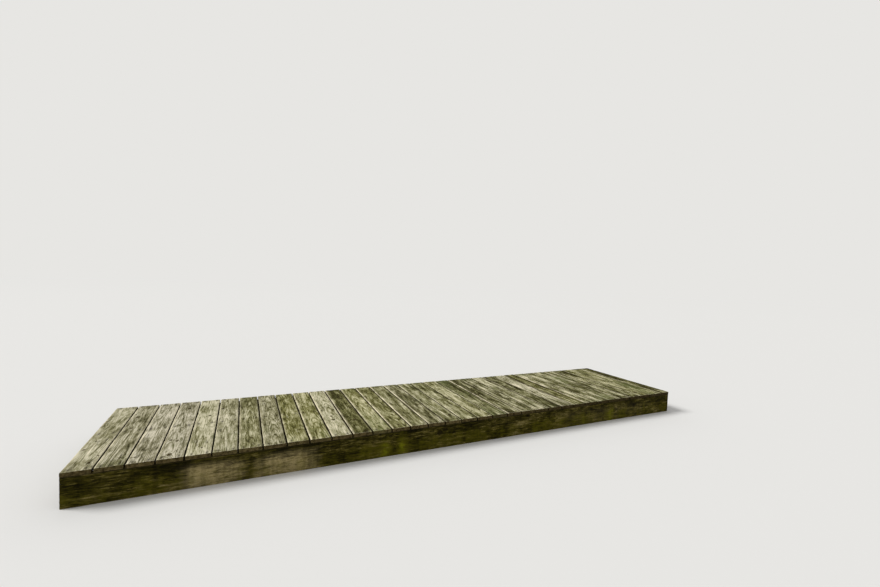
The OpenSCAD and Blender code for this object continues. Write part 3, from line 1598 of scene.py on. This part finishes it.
@dataclass(kw_only=True)
class DeckBoard(Timber):
    """A deck board, with its nails over each beam.

    Attributes:
        nails: Places of its nails, across and along the board.
        moss: How green it is, from 0 to 1.
        lit_edge: How bleached the edge is that faces the sun, from 0 to 1, which also paints a highlight
            along it.
        pale_other: How bleached the other edge is, from 0 to 1.
        shade_edge: How dark that other edge is with painted shade, from 0 to 1.
        unshaded_depth: How far down its sides stay free of the painted shade in the gaps.
        end_darkening: How dark its sawn ends are, from 0 to 1.
        open_side: The side that faces no other board.
    """

    nails: list[Pair]
    moss: float
    lit_edge: float
    pale_other: float
    shade_edge: float
    unshaded_depth: float
    end_darkening: float
    open_side: Side

    # Mesh lines beside a nail, across and along the board
    NAIL_LINES: ClassVar[tuple[float, ...]] = (-0.005, 0.0, 0.005)
    NAIL_LINES_ALONG: ClassVar[tuple[float, ...]] = (-0.006, 0.0, 0.006)

    # Depth and reach of the dent round a nail, and reach of its stain, across and along
    DENT: ClassVar[float] = 0.0012
    DENT_REACH: ClassVar[Pair] = (0.0055, 0.0055)
    STAIN_REACH: ClassVar[Pair] = (0.007, 0.016)

    # Bleached edges, which on the edge that faces the light are also a painted highlight: how far down and
    # inwards they reach, how they break up, and reach and strength at ends
    PALE_DOWN: ClassVar[Step] = (0.002, 0.0)
    PALE_REACH: ClassVar[float] = 0.010
    PALE_BREAKS: ClassVar[Grid] = Grid(((0.07, 33),), 0.5)
    PALE_END: ClassVar[Pair] = (0.003, 0.6)

    # How far down shelter starts and is full, and how much less there is on an open side
    SHELTERED: ClassVar[Step] = (0.002, 0.008)
    OPEN_LOSS: ClassVar[float] = 0.7

    # Painted shade and dirt at their strongest, how softly the painted shade starts in a gap, and where
    # painted shade lies along the edge that faces away from the light
    DARK_STRENGTH: ClassVar[float] = 0.92
    GAP_SHADE_SOFT: ClassVar[float] = 0.002
    SHADE_EDGE_REACH: ClassVar[Step] = (0.010, 0.003)

    # Growth towards the edges and towards the ends, as strength and reach, and along the board
    EDGE_MOSS: ClassVar[Pair] = (0.12, 0.012)
    END_MOSS: ClassVar[Pair] = (0.10, 0.06)
    MOSS: ClassVar[Grid] = Grid(((0.25, 90),), 0.15)

    def face_lines(self) -> list[float]:
        """Lines through each nail and beside it."""
        return [across + gap for across, _ in self.nails for gap in self.NAIL_LINES]

    def along_lines(self) -> list[float]:
        """Lines through each nail and beside it."""
        return [along + gap for _, along in self.nails for gap in self.NAIL_LINES_ALONG]

    def near_nail(self, spots: Spots, width: float, length: float) -> np.ndarray:
        """Measures how near a nail is, on the upper face.

        Args:
            spots: Places on the board.
            width: How far a nail's surroundings reach across the board.
            length: How far they reach along it.

        Returns:
            Values that rise to 1 at each nail.
        """
        near = np.zeros(spots.up.shape)
        for across, along in self.nails:
            reach = np.hypot((spots.across - across) / width, (spots.along - along) / length)
            near = np.maximum(near, bell(reach, 1.0))
        return near * self.on_top(spots)

    def dimples(self, spots: Spots) -> np.ndarray:
        """Dents round the nails, and the cup of the upper face."""
        cup = self.wear.cup * (1 - (2 * spots.across / self.width) ** 2)
        return self.on_top(spots) * cup + self.DENT * self.near_nail(spots, *self.DENT_REACH)

    def stain(self, spots: Spots) -> np.ndarray:
        """Iron stain that ran along the grain from each nail."""
        return self.near_nail(spots, *self.STAIN_REACH)

    def bared_and_lit(self, spots: Spots) -> np.ndarray:
        """Works out how bleached the upper edges are, most on the one that faces the sun, where it is also
        a painted highlight.

        Args:
            spots: Places on the board.

        Returns:
            Values from 0 to 1.
        """
        # The edge that faces the light is bleached and carries a painted highlight
        broken = self.lit_edge * (1 + self.noise.at(self.PALE_BREAKS, spots.along))
        sunny = np.where(spots.across < 0, broken, self.pale_other)
        long_edge = sunny * bell(self.width / 2 - np.abs(spots.across), self.PALE_REACH)
        end = bell(self.to_end(spots), *self.PALE_END)
        return ease(self.to_top(spots), *self.PALE_DOWN) * np.maximum(long_edge, end)

    def in_gap(self, spots: Spots) -> np.ndarray:
        """1 on each side that faces another board, and 0 elsewhere."""
        return self.on_sides(spots) * (np.sign(spots.across) != self.open_side)

    def shelter(self, spots: Spots) -> np.ndarray:
        """Sheltered below the upper edge, and less so on an open side."""
        exposed = self.on_sides(spots) - self.in_gap(spots)
        return ease(self.to_top(spots), *self.SHELTERED) * (1 - self.OPEN_LOSS * exposed)

    def shade_and_dirt(self, spots: Spots) -> np.ndarray:
        """Works out where the board is darkened: painted shade with some dirt in the gaps, painted shade
        along the edge that faces away from the light, and darker ends.

        Args:
            spots: Places on the board.

        Returns:
            Values from 0 to 1.
        """
        top = self.to_top(spots)
        gap_shade = self.in_gap(spots) * ease(top, self.unshaded_depth, self.unshaded_depth + self.GAP_SHADE_SOFT)
        # Painted shade along the edge that faces away from the light
        damp = ease(self.width / 2 - spots.across, *self.SHADE_EDGE_REACH) * ease(top, self.height / 2, 0.0)
        dirt_and_shade = np.maximum(gap_shade, self.shade_edge * damp)
        return self.DARK_STRENGTH * np.maximum(dirt_and_shade, self.end_darkening * self.on_ends(spots))

    def film(self, spots: Spots) -> np.ndarray:
        """Works out the green growth, which thickens towards the board's own edges and ends.

        Args:
            spots: Places on the board.

        Returns:
            Values from 0 to 1.
        """
        moss = self.moss + self.noise.at(self.MOSS, spots.along)
        for away, (amount, reach) in (
            (self.to_edge(spots), self.EDGE_MOSS),
            (self.to_end(spots), self.END_MOSS),
        ):
            moss = moss + amount * np.exp(-away / reach)
        return np.clip(moss, 0.0, 1.0)


@dataclass(kw_only=True)
class Beam(Timber):
    """A beam on edge.

    Attributes:
        patches: Where the green growth is thick, as the place along the beam, its reach and its strength.
        bare_and_sunlit: Where the outer face is washed bare and painted light as in sunlight, in the same
            way.
        outer: The side that faces out: right on the near beam, and left on the far one.
        damp: Strength of the growth all along the lower edge.
    """

    patches: tuple[Triple, ...]
    bare_and_sunlit: tuple[Triple, ...]
    outer: Side
    damp: float

    # How the sides of a patch stray along the beam, and how much more those of the bare places do
    WAVER: ClassVar[Grid] = Grid(((0.05, 13), (0.12, 0)), 0.012)
    FRINGE: ClassVar[Grid] = Grid(((0.012, 0), (0.04, 0)), 0.006)
    BARE_STRAY: ClassVar[float] = 4.0

    # From where across the beam its outer face counts, and where shelter ends there, as shares of the width
    FACE_FROM: ClassVar[float] = 0.45
    LEE: ClassVar[Step] = (0.2, -0.2)

    # Sides of a bare place and of a patch, in their reaches, and where they lie over the beam's height
    BARE_SIDES: ClassVar[Step] = (1.5, 0.5)
    BARE_RISE: ClassVar[Step] = (0.92, 0.6)
    PATCH_SIDES: ClassVar[Step] = (1.6, 0.3)
    PATCH_RISE: ClassVar[Step] = (0.95, 0.55, 0.3, 1.0)
    DAMP_RISE: ClassVar[Step] = (0.9, 0.25, 0.25, 1.0)

    # Strength of bare edges, loss of growth in shelter, the painted shadow line below the board ends, and
    # darkening over the upper half
    BARE_EDGE: ClassVar[float] = 0.6
    LEE_LOSS: ClassVar[float] = 0.6
    SHADOW_LINE: ClassVar[Step] = (0.010, 0.004, 0.0, 0.85)
    UPPER_DARKENING: ClassVar[Step] = (0.45, 0.7, 0.0, 0.2)

    def facing_out(self, spots: Spots) -> np.ndarray:
        """1 on the outer face, and 0 elsewhere."""
        return (self.outer * spots.across > self.FACE_FROM * self.width).astype(float)

    def waver(self, spots: Spots) -> np.ndarray:
        """How far the sides of a patch stray along the beam."""
        return sum(self.noise.at(grid, spots.up, spots.along) for grid in (self.WAVER, self.FRINGE))

    def bared_and_lit(self, spots: Spots) -> np.ndarray:
        """Works out how bleached the edges are, and the places that are washed bare and painted light as in
        sunlight.

        Args:
            spots: Places on the beam.

        Returns:
            Values from 0 to 1.
        """
        bared_and_lit = self.BARE_EDGE * super().bared_and_lit(spots)
        low = self.facing_out(spots) * ease(spots.up / self.height, *self.BARE_RISE)
        strayed = spots.along + self.BARE_STRAY * self.waver(spots)
        for place, reach, strength in self.bare_and_sunlit:
            washed = ease(np.abs(strayed - place) / reach, *self.BARE_SIDES)
            bared_and_lit = np.maximum(bared_and_lit, low * strength * washed)
        return bared_and_lit

    def shelter(self, spots: Spots) -> np.ndarray:
        """Only the outer face sees the weather."""
        lee = ease(self.outer * spots.across / self.width, *self.LEE)
        return lee if self.outer else np.ones(spots.up.shape)

    def film(self, spots: Spots) -> np.ndarray:
        """Works out the growth, which thickens towards the lower edge and in some patches.

        Args:
            spots: Places on the beam.

        Returns:
            Values from 0 to 1.
        """
        rise = spots.up / self.height
        amount = self.damp * ease(rise, *self.DAMP_RISE)
        strayed = spots.along + self.waver(spots)
        for place, reach, strength in self.patches:
            column = ease(np.abs(strayed - place) / reach, *self.PATCH_SIDES)
            amount = amount + strength * column * ease(rise, *self.PATCH_RISE)
        return np.clip(amount, 0.0, 1.0) * (1 - self.LEE_LOSS * self.shelter(spots))

    def shade_and_dirt(self, spots: Spots) -> np.ndarray:
        """Painted shadow line in the crevice below the board ends, and a little darkening over the upper
        half.
        """
        upper_dark = ease(spots.up / self.height, *self.UPPER_DARKENING)
        return self.facing_out(spots) * np.maximum(ease(self.to_top(spots), *self.SHADOW_LINE), upper_dark)


@dataclass(frozen=True)
class NailRow:
    """Nail heads driven into the boards over one beam.

    Attributes:
        name: Name of the piece.
        spots: Where each head's rim meets the wood.
        radius: Radius of a head.
        crown: Height of a head over its rim.
        shank: How far a head reaches down into the wood.
        sides: Corners of its rim.
    """

    name: str
    spots: list[Vector]
    radius: float = 0.0042
    crown: float = 0.0008
    shank: float = 0.0015
    sides: int = 12

    # A head's side from its rim up: how far it reaches in radii, and how high it lies in crowns
    PROFILE: ClassVar[tuple[Pair, ...]] = ((1.0, 0.0), (0.86, 0.55), (0.5, 1.0))

    def build(self, iron: bpy.types.Material) -> bpy.types.Object:
        """Joins the heads into one piece that rides with the deck.

        Args:
            iron: Their finish.

        Returns:
            The new object.
        """
        head = circle(self.radius, self.sides, -self.shank)
        for reach, rise in self.PROFILE:
            head += circle(self.radius * reach, self.sides, self.crown * rise)
        points, faces = [], []
        for spot in self.spots:
            first = len(points)
            points += [spot + point for point in head]
            for low in range(first, len(points) - self.sides, self.sides):
                high = low + self.sides
                for step in range(self.sides):
                    after = (step + 1) % self.sides
                    faces.append((low + step, low + after, high + after, high + step))
            faces.append(tuple(range(len(points) - self.sides, len(points))))
            faces.append(tuple(reversed(range(first, first + self.sides))))
        piece = new_object(self.name, [tuple(point) for point in points], faces, iron)
        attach(piece, BODY)
        LOG.info("%s: %d heads", self.name, len(self.spots))
        return piece


@dataclass(frozen=True)
class Deck:
    """All the deck boards and their nails.

    Attributes:
        seed: Number that the boards are drawn from.
        nail_spread: How far a board's nails lie from its middle, as a share of its width.
        lighter: Numbers of the boards that stand out as light.
        darker: Numbers of the boards that stand out as dark.
        greener: Numbers of the boards with the most growth.
        lit_edged: Numbers of the boards with a bleached edge that stands out, with a painted highlight.
        wear: How far weather has eaten into them.
    """

    seed: int = 200
    nail_spread: float = 0.30
    lighter: tuple[int, ...] = (5, 11, 19, 23, 25, 28)
    darker: tuple[int, ...] = (12, 21, 22, 24, 26, 31, 34)
    greener: tuple[int, ...] = (13, 17, 20, 29, 33)
    # Boards whose edge facing the light carries a strong painted highlight
    lit_edged: tuple[int, ...] = (10, 11, 12, 13, 14, 15, 16, 21, 27)
    wear: Wear = Wear(grain=0.0010, cup=0.0007, edge=0.0012, chip=0.0022, end=0.0014, saw=0.0012)

    # Knots that show in the photo, by board number
    NOTED_KNOTS: ClassVar[dict[int, tuple[Knot, ...]]] = {
        1: (Knot(0.033, -0.471, 0.009), Knot(0.052, -0.380, 0.006), Knot(-0.020, -0.130, 0.006)),
        2: (Knot(-0.026, 0.287, 0.013), Knot(0.044, -0.466, 0.007)),
        3: (Knot(-0.039, -0.477, 0.007), Knot(0.054, -0.375, 0.006)),
        4: (Knot(-0.008, -0.505, 0.014), Knot(0.009, 0.384, 0.012)),
        5: (Knot(0.008, -0.460, 0.006), Knot(0.019, 0.157, 0.010)),
        11: (Knot(0.004, -0.235, 0.014), Knot(0.002, -0.155, 0.011)),
        13: (Knot(0.003, -0.420, 0.009),),
        14: (Knot(-0.004, -0.500, 0.008),),
        32: (Knot(-0.020, -0.460, 0.015),),
    }

    # What changes along the deck, by board number: how silvery, how darkened towards the right end, how
    # banded and how streaked the boards are
    SILVER: ClassVar[Trend] = ((4, 1.0), (9, 0.0))
    RIGHT_DARKENING: ClassVar[Trend] = ((17, 0.0), (27, 1.0))
    BANDS: ClassVar[Trend] = ((1, 0.45), (9, 0.6), (16, 0.85), (22, 1.2))
    STREAKS: ClassVar[Trend] = ((1, 0.80), (7, 0.72), (14, 0.75), (22, 1.0))

    # Tone of the deck, and what is added to it on a board that is light, dark, silvery or towards the right
    # end
    TONE: ClassVar[float] = -0.15
    LIGHTER: ClassVar[float] = 0.7
    DARKER: ClassVar[float] = -0.65
    SILVERED: ClassVar[float] = 0.5
    RIGHT_DARKENED: ClassVar[float] = -0.25

    # How a board's edges, with their painted highlight and painted shade, change as it goes from green, at
    # 0, to silvery, at 1, and how far it cools
    LIT_EDGE: ClassVar[Trend] = ((0, 0.4), (1, 0.75))
    PALE_OTHER: ClassVar[Trend] = ((0, 0.1), (1, 0.5))
    UNSHADED_DEPTH: ClassVar[Trend] = ((0, 0.0002), (1, 0.0030))
    SHADE_EDGE: ClassVar[Trend] = ((0, 0.7), (1, 0.15))
    COOLING: ClassVar[float] = 0.5

    # Edges that stand out as pale with a painted highlight, the last board's painted edge shade, darkening
    # of the ends, and greener boards' growth
    LIT_EDGE_STANDOUT: ClassVar[float] = 1.3
    LAST_SHADE_EDGE: ClassVar[float] = 0.15
    END_DARKENING: ClassVar[float] = 0.7
    GREENER: ClassVar[float] = 0.22

    # What is drawn for each board: tone, warmth, growth, how far nails stray across and along, how many
    # knots and cracks there are, which is fewer than the second number, their places in half widths and
    # half lengths, and their sizes in metres
    TONES: ClassVar[Pair] = (-0.3, 0.3)
    WARMTHS: ClassVar[Pair] = (-0.25, 0.3)
    MOSSES: ClassVar[Pair] = (0.0, 0.12)
    NAIL_STRAY: ClassVar[Pair] = (0.004, 0.006)
    KNOT_COUNTS: ClassVar[Pair] = (0, 3)
    SPLIT_COUNTS: ClassVar[Pair] = (1, 3)
    KNOT_PLACES: ClassVar[Pair] = (-0.8, 0.8)
    KNOT_RADII: ClassVar[Pair] = (0.006, 0.013)
    SPLIT_PLACES: ClassVar[Pair] = (-0.75, 0.75)
    SPLIT_REACHES: ClassVar[Pair] = (0.03, 0.16)
    SPLIT_DEPTHS: ClassVar[Pair] = (0.002, 0.005)

    # How much of the cup is left at the nails
    NAIL_CUP: ClassVar[float] = 0.6

    def nails(self, node: str, draw: np.random.Generator) -> list[Pair]:
        """Sets a board's nails, two over each beam.

        Args:
            node: The board's node.
            draw: The board's own random numbers.

        Returns:
            Their places across and along the board, from the near beam to the far one.
        """
        low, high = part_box(node)
        stray, stray_along = self.NAIL_STRAY
        nails = []
        for beam in BEAM_NODES:
            edge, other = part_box(beam)
            for turn in (-1, 1):
                across = turn * self.nail_spread * (high.x - low.x) + draw.uniform(-stray, stray)
                along = (edge.y + other.y - low.y - high.y) / 2 + draw.uniform(-stray_along, stray_along)
                nails.append((across, along))
        return nails

    def board(self, number: int) -> DeckBoard:
        """Prepares one board, with its own nails, knots, cracks and tone.

        Args:
            number: Its number, from 1 at the left end.

        Returns:
            The board, ready to be built.
        """
        node = BOARD_NODES[number - 1]
        low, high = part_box(node)
        half_width, half_length = (high.x - low.x) / 2, (high.y - low.y) / 2
        draw = np.random.default_rng(self.seed + number)
        nails = self.nails(node, draw)
        knots = list(self.NOTED_KNOTS.get(number, ()))
        for _ in range(draw.integers(*self.KNOT_COUNTS)):
            wide, along = draw.uniform(*self.KNOT_PLACES, 2) * (half_width, half_length)
            knots.append(Knot(wide, along, draw.uniform(*self.KNOT_RADII)))
        splits = []
        for end in (-half_length, half_length):
            for _ in range(draw.integers(*self.SPLIT_COUNTS)):
                reach = draw.uniform(*self.SPLIT_REACHES)
                wide = draw.uniform(*self.SPLIT_PLACES) * half_width
                splits.append(Split(wide, end - reach, end + reach, draw.uniform(*self.SPLIT_DEPTHS)))
        silver, right_dark = read(self.SILVER, number), read(self.RIGHT_DARKENING, number)
        shade = self.TONE + self.LIGHTER * (number in self.lighter) + self.DARKER * (number in self.darker)
        shade += self.SILVERED * silver + self.RIGHT_DARKENED * right_dark
        first, last = number == 1, number == len(BOARD_NODES)
        return DeckBoard(
            node=node,
            run=Run.FLAT_ACROSS,
            edge=BOARD_EDGE,
            wear=self.wear,
            seed=self.seed + number,
            knots=knots,
            splits=splits,
            tone=shade + draw.uniform(*self.TONES),
            warmth=draw.uniform(*self.WARMTHS) - self.COOLING * silver,
            bands=read(self.BANDS, number),
            streaks=read(self.STREAKS, number),
            nails=nails,
            moss=self.GREENER * (number in self.greener) + draw.uniform(*self.MOSSES),
            lit_edge=self.LIT_EDGE_STANDOUT if number in self.lit_edged else read(self.LIT_EDGE, silver),
            pale_other=read(self.PALE_OTHER, silver),
            unshaded_depth=read(self.UNSHADED_DEPTH, silver),
            shade_edge=self.LAST_SHADE_EDGE if last else read(self.SHADE_EDGE, silver),
            end_darkening=self.END_DARKENING * right_dark,
            open_side=Side(last - first),
        )

    def build(self, wood: bpy.types.Material, iron: bpy.types.Material) -> None:
        """Makes every board, and the nails over each beam.

        Args:
            wood: Finish of the boards.
            iron: Finish of the nails.
        """
        rows: dict[str, list[Vector]] = {beam: [] for beam in BEAM_NODES}
        sunk = Timber.MEAN_LOSS * self.wear.grain + self.NAIL_CUP * self.wear.cup + DeckBoard.DENT
        for number in range(1, len(BOARD_NODES) + 1):
            board = self.board(number)
            board.build(wood, DECK_FINISH.slot)
            corner = Vector((board.centre.x, board.centre.y, board.floor + board.height - sunk))
            for index, (across, along) in enumerate(board.nails):
                rows[BEAM_NODES[index // 2]].append(corner + Vector((across, along, 0.0)))
        for beam, spots in rows.items():
            NailRow(beam.replace("_beam", "_nails"), spots).build(iron)


@dataclass(frozen=True)
class UnderFrame:
    """The three beams and the blocks between them.

    Attributes:
        seed: Number that they are drawn from.
        beam_wear: How far weather has eaten into the beams.
        block_wear: How far it has eaten into the blocks.
        near_patches: Where the near beam's growth is thick: place along it, reach and strength.
        near_bare_and_sunlit: Where its outer face is washed bare and painted light as in sunlight, in the
            same way.
        far_patches: Where the far beam's growth is thick, in the same way.
    """

    seed: int = 500
    beam_wear: Wear = Wear(grain=0.0012, cup=0.0, edge=0.0012, chip=0.0016, end=0.0014, saw=0.0012)
    block_wear: Wear = Wear(grain=0.0008, cup=0.0, edge=0.0006, chip=0.0008, end=0.0002, saw=0.0)
    near_patches: tuple[Triple, ...] = (
        (-2.05, 0.08, 0.10),
        (-0.74, 0.05, 0.24),
        (-0.62, 0.045, 0.50),
        (-0.48, 0.04, 0.42),
        (-0.20, 0.20, 0.10),
        (0.12, 0.09, 0.12),
        (0.78, 0.06, 0.16),
        (0.95, 0.12, 0.18),
        (1.29, 0.12, 0.20),
        (1.61, 0.05, 0.42),
        (1.79, 0.04, 0.28),
    )
    # Pale patches on the near beam, partly washed-bare wood, partly painted sunlight
    near_bare_and_sunlit: tuple[Triple, ...] = ((-1.72, 0.14, 1.0), (-1.30, 0.14, 1.0), (1.55, 0.5, 0.12))
    far_patches: tuple[Triple, ...] = ((-1.2, 0.15, 0.3), (0.4, 0.2, 0.2), (1.5, 0.1, 0.3))

    # Growth along an outer beam's and along the middle one's lower edge
    OUTER_DAMP: ClassVar[float] = 0.32
    INNER_DAMP: ClassVar[float] = 0.1

    # Spacing of the mesh along a timber and over its wide face: the near beam, the others and the blocks
    NEAR_MESH: ClassVar[Pair] = (0.030, 0.008)
    BEAM_MESH: ClassVar[Pair] = (0.045, 0.012)
    BLOCK_MESH: ClassVar[Pair] = (0.03, 0.01)

    # How many knots and how many cracks each beam has, and what they are drawn from: places in depths and
    # in half lengths, and sizes in metres
    BEAM_FLAWS: ClassVar[int] = 9
    KNOT_HEIGHTS: ClassVar[Pair] = (-0.4, 0.4)
    KNOT_PLACES: ClassVar[Pair] = (-0.95, 0.95)
    KNOT_RADII: ClassVar[Pair] = (0.008, 0.018)
    SPLIT_HEIGHTS: ClassVar[Pair] = (-0.38, 0.38)
    SPLIT_PLACES: ClassVar[Pair] = (-0.9, 0.9)
    SPLIT_REACHES: ClassVar[Pair] = (0.12, 0.4)
    SPLIT_DEPTHS: ClassVar[Pair] = (0.002, 0.004)

    # The same for a block's knot, with its place along the block in metres, and where the seeds start
    BLOCK_KNOT_HEIGHTS: ClassVar[Pair] = (-0.3, 0.3)
    BLOCK_KNOT_PLACES: ClassVar[Pair] = (-0.2, 0.2)
    BLOCK_KNOT_RADII: ClassVar[Pair] = (0.008, 0.014)
    BLOCK_SEED: ClassVar[int] = 20

    def beam(self, node: str, outer: Side, patches: tuple[Triple, ...]) -> Beam:
        """Prepares one beam, with its own knots and drying cracks.

        Args:
            node: Its node.
            outer: The side that faces out.
            patches: Where its growth is thick.

        Returns:
            The beam, ready to be built.
        """
        low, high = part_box(node)
        half, depth = (high.x - low.x) / 2, high.z - low.z
        draw = np.random.default_rng(self.seed + outer)
        knots, splits = [], []
        for _ in range(self.BEAM_FLAWS):
            wide = draw.uniform(*self.KNOT_HEIGHTS) * depth
            along = draw.uniform(*self.KNOT_PLACES) * half
            knots.append(Knot(wide, along, draw.uniform(*self.KNOT_RADII)))
        for _ in range(self.BEAM_FLAWS):
            middle = draw.uniform(*self.SPLIT_PLACES) * half
            reach = draw.uniform(*self.SPLIT_REACHES)
            wide = draw.uniform(*self.SPLIT_HEIGHTS) * depth
            splits.append(Split(wide, middle - reach, middle + reach, draw.uniform(*self.SPLIT_DEPTHS)))
        near = outer is Side.RIGHT
        step, fine = self.NEAR_MESH if near else self.BEAM_MESH
        return Beam(
            node=node,
            run=Run.EDGE_ALONG,
            edge=BEAM_EDGE,
            wear=self.beam_wear,
            seed=self.seed + outer,
            step=step,
            fine=fine,
            knots=knots,
            splits=splits,
            patches=patches,
            bare_and_sunlit=self.near_bare_and_sunlit if near else (),
            outer=outer,
            damp=self.OUTER_DAMP if outer else self.INNER_DAMP,
        )

    def block(self, number: int, node: str) -> Timber:
        """Prepares one block between two beams, with a knot of its own.

        Args:
            number: Its number.
            node: Its node.

        Returns:
            The block, ready to be built.
        """
        seed = self.seed + self.BLOCK_SEED + number
        draw = np.random.default_rng(seed)
        low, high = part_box(node)
        wide = draw.uniform(*self.BLOCK_KNOT_HEIGHTS) * (high.z - low.z)
        along = draw.uniform(*self.BLOCK_KNOT_PLACES)
        step, fine = self.BLOCK_MESH
        return Timber(
            node=node,
            run=Run.EDGE_ACROSS,
            edge=BEAM_EDGE,
            wear=self.block_wear,
            seed=seed,
            step=step,
            fine=fine,
            knots=[Knot(wide, along, draw.uniform(*self.BLOCK_KNOT_RADII))],
        )

    def build(self, beam_wood: bpy.types.Material, block_wood: bpy.types.Material) -> None:
        """Makes the beams and the blocks.

        Args:
            beam_wood: Finish of the beams.
            block_wood: Finish of the blocks.
        """
        sides = (Side.RIGHT, Side.NEITHER, Side.LEFT)
        for node, outer, patches in zip(BEAM_NODES, sides, (self.near_patches, (), self.far_patches)):
            self.beam(node, outer, patches).build(beam_wood, BEAM_FINISH.slot)
        for number, node in enumerate(BLOCK_NODES):
            self.block(number, node).build(block_wood, BLOCK_FINISH.slot)


@dataclass(frozen=True)
class Studio:
    """The plain floor, the soft light and the camera.

    Attributes:
        eye: Where the camera stands.
        heading: How far it looks to the right of straight across the span, in degrees.
        pitch: How far it looks up, in degrees.
        roll: How far it leans to the left, in degrees.
        lens: Its lens in millimetres, on a sensor 36 mm wide.
        floor_radius: Radius of the floor.
        floor_sides: Corners of its rim.
        fade: Where the floor starts and ends to fade into the backdrop, from its middle.
        key: Strength of the soft key light.
        key_from: Direction that it comes from.
        key_softness: How wide it looks, in degrees.
        fill: Strength of the light from all round.
        floor_colour: Colour of the floor.
        backdrop: Colour of the backdrop.
    """

    eye: Triple = (-1.567, -3.366, 1.329)
    heading: float = 25.50
    pitch: float = -2.58
    roll: float = 2.07
    lens: float = 16.96
    floor_radius: float = 300.0
    floor_sides: int = 96
    fade: tuple[float, float] = (6.0, 40.0)
    key: float = 2.3
    key_from: Triple = (-0.80, 0.30, 0.75)
    key_softness: float = 22.0
    fill: float = 0.5
    floor_colour: Colour = paint(233, 232, 229)
    backdrop: Colour = paint(231, 230, 227)

    SENSOR: ClassVar[float] = 36.0
    FLOOR_ROUGHNESS: ClassVar[float] = 0.9
    FLOOR_GLOSS: ClassVar[float] = 0.1

    def camera(self) -> bpy.types.Object:
        """Stands the camera at the photo's viewing angle.

        Returns:
            The camera.
        """
        data = bpy.data.cameras.new("viewpoint")
        data.lens = self.lens
        data.sensor_width = self.SENSOR
        turn = Matrix.Rotation(-math.radians(self.heading), 4, "Z")
        tilt = Matrix.Rotation(math.radians(90 + self.pitch), 4, "X")
        lean = Matrix.Rotation(math.radians(self.roll), 4, "Z")
        camera = bpy.data.objects.new("viewpoint", data)
        camera.matrix_world = Matrix.Translation(self.eye) @ turn @ tilt @ lean
        bpy.context.scene.collection.objects.link(camera)
        bpy.context.scene.camera = camera
        return camera

    def floor_finish(self) -> bpy.types.Material:
        """Builds the floor's material, which keeps shadows near the bridge.

        Returns:
            The new material.
        """
        material, wiring, shader = new_material("pale_floor")
        wiring.feed(shader["Base Color"], self.floor_colour)
        wiring.feed(shader["Roughness"], self.FLOOR_ROUGHNESS)
        wiring.feed(shader["Specular IOR Level"], self.FLOOR_GLOSS)
        away = wiring.add("VectorMath", {0: wiring.place()}, "Value", operation="LENGTH")
        share = wiring.span(away, *self.fade) * wiring.add("LightPath", output="Is Camera Ray")
        glow = wiring.add("Emission", {"Color": self.backdrop, "Strength": 1.0})
        nodes = material.node_tree.nodes
        plain = Signal(wiring, nodes["Principled BSDF"].outputs[0])
        mix = wiring.add("MixShader", {0: share, 1: plain, 2: glow})
        wiring.feed(nodes["Material Output"].inputs["Surface"], mix)
        return material

    def floor(self) -> bpy.types.Object:
        """Lays a wide pale floor that fades into the backdrop.

        Returns:
            The floor.
        """
        rim = circle(self.floor_radius, self.floor_sides)
        floor = new_object("floor", rim, [tuple(range(self.floor_sides))], self.floor_finish())
        return floor

    def light(self) -> None:
        """Sets the soft key light and the light from all round."""
        lamp = bpy.data.lights.new("key", "SUN")
        lamp.energy = self.key
        lamp.angle = math.radians(self.key_softness)
        key = bpy.data.objects.new("key", lamp)
        key.rotation_mode = "QUATERNION"
        key.rotation_quaternion = Vector(self.key_from).to_track_quat("Z", "Y")
        bpy.context.scene.collection.objects.link(key)
        world = bpy.data.worlds.new("studio")
        world.use_nodes = True
        bpy.context.scene.world = world
        wiring = Wiring(world.node_tree)
        seen = wiring.math(
            "MAXIMUM",
            wiring.add("LightPath", output="Is Camera Ray"),
            wiring.add("LightPath", output="Is Glossy Ray"),
        )
        room = wiring.add("Background", {"Color": (1.0, 1.0, 1.0, 1.0), "Strength": self.fill})
        backdrop = wiring.add("Background", {"Color": self.backdrop, "Strength": 1.0})
        mix = wiring.add("MixShader", {0: seen, 1: room, 2: backdrop})
        wiring.feed(world.node_tree.nodes["World Output"].inputs["Surface"], mix)

    def build(self) -> None:
        """Sets up the camera, the floor and the light."""
        self.camera()
        self.floor()
        self.light()
        bpy.context.scene.view_settings.view_transform = "Standard"


def main() -> None:
    """Builds the bridge and its studio."""
    logging.basicConfig(level=logging.INFO, format="%(name)s: %(message)s")
    Studio().build()
    UnderFrame().build(BEAM_FINISH.build(), BLOCK_FINISH.build())
    Deck().build(DECK_FINISH.build(), NailFinish().build())


if __name__ == "__main__":
    main()
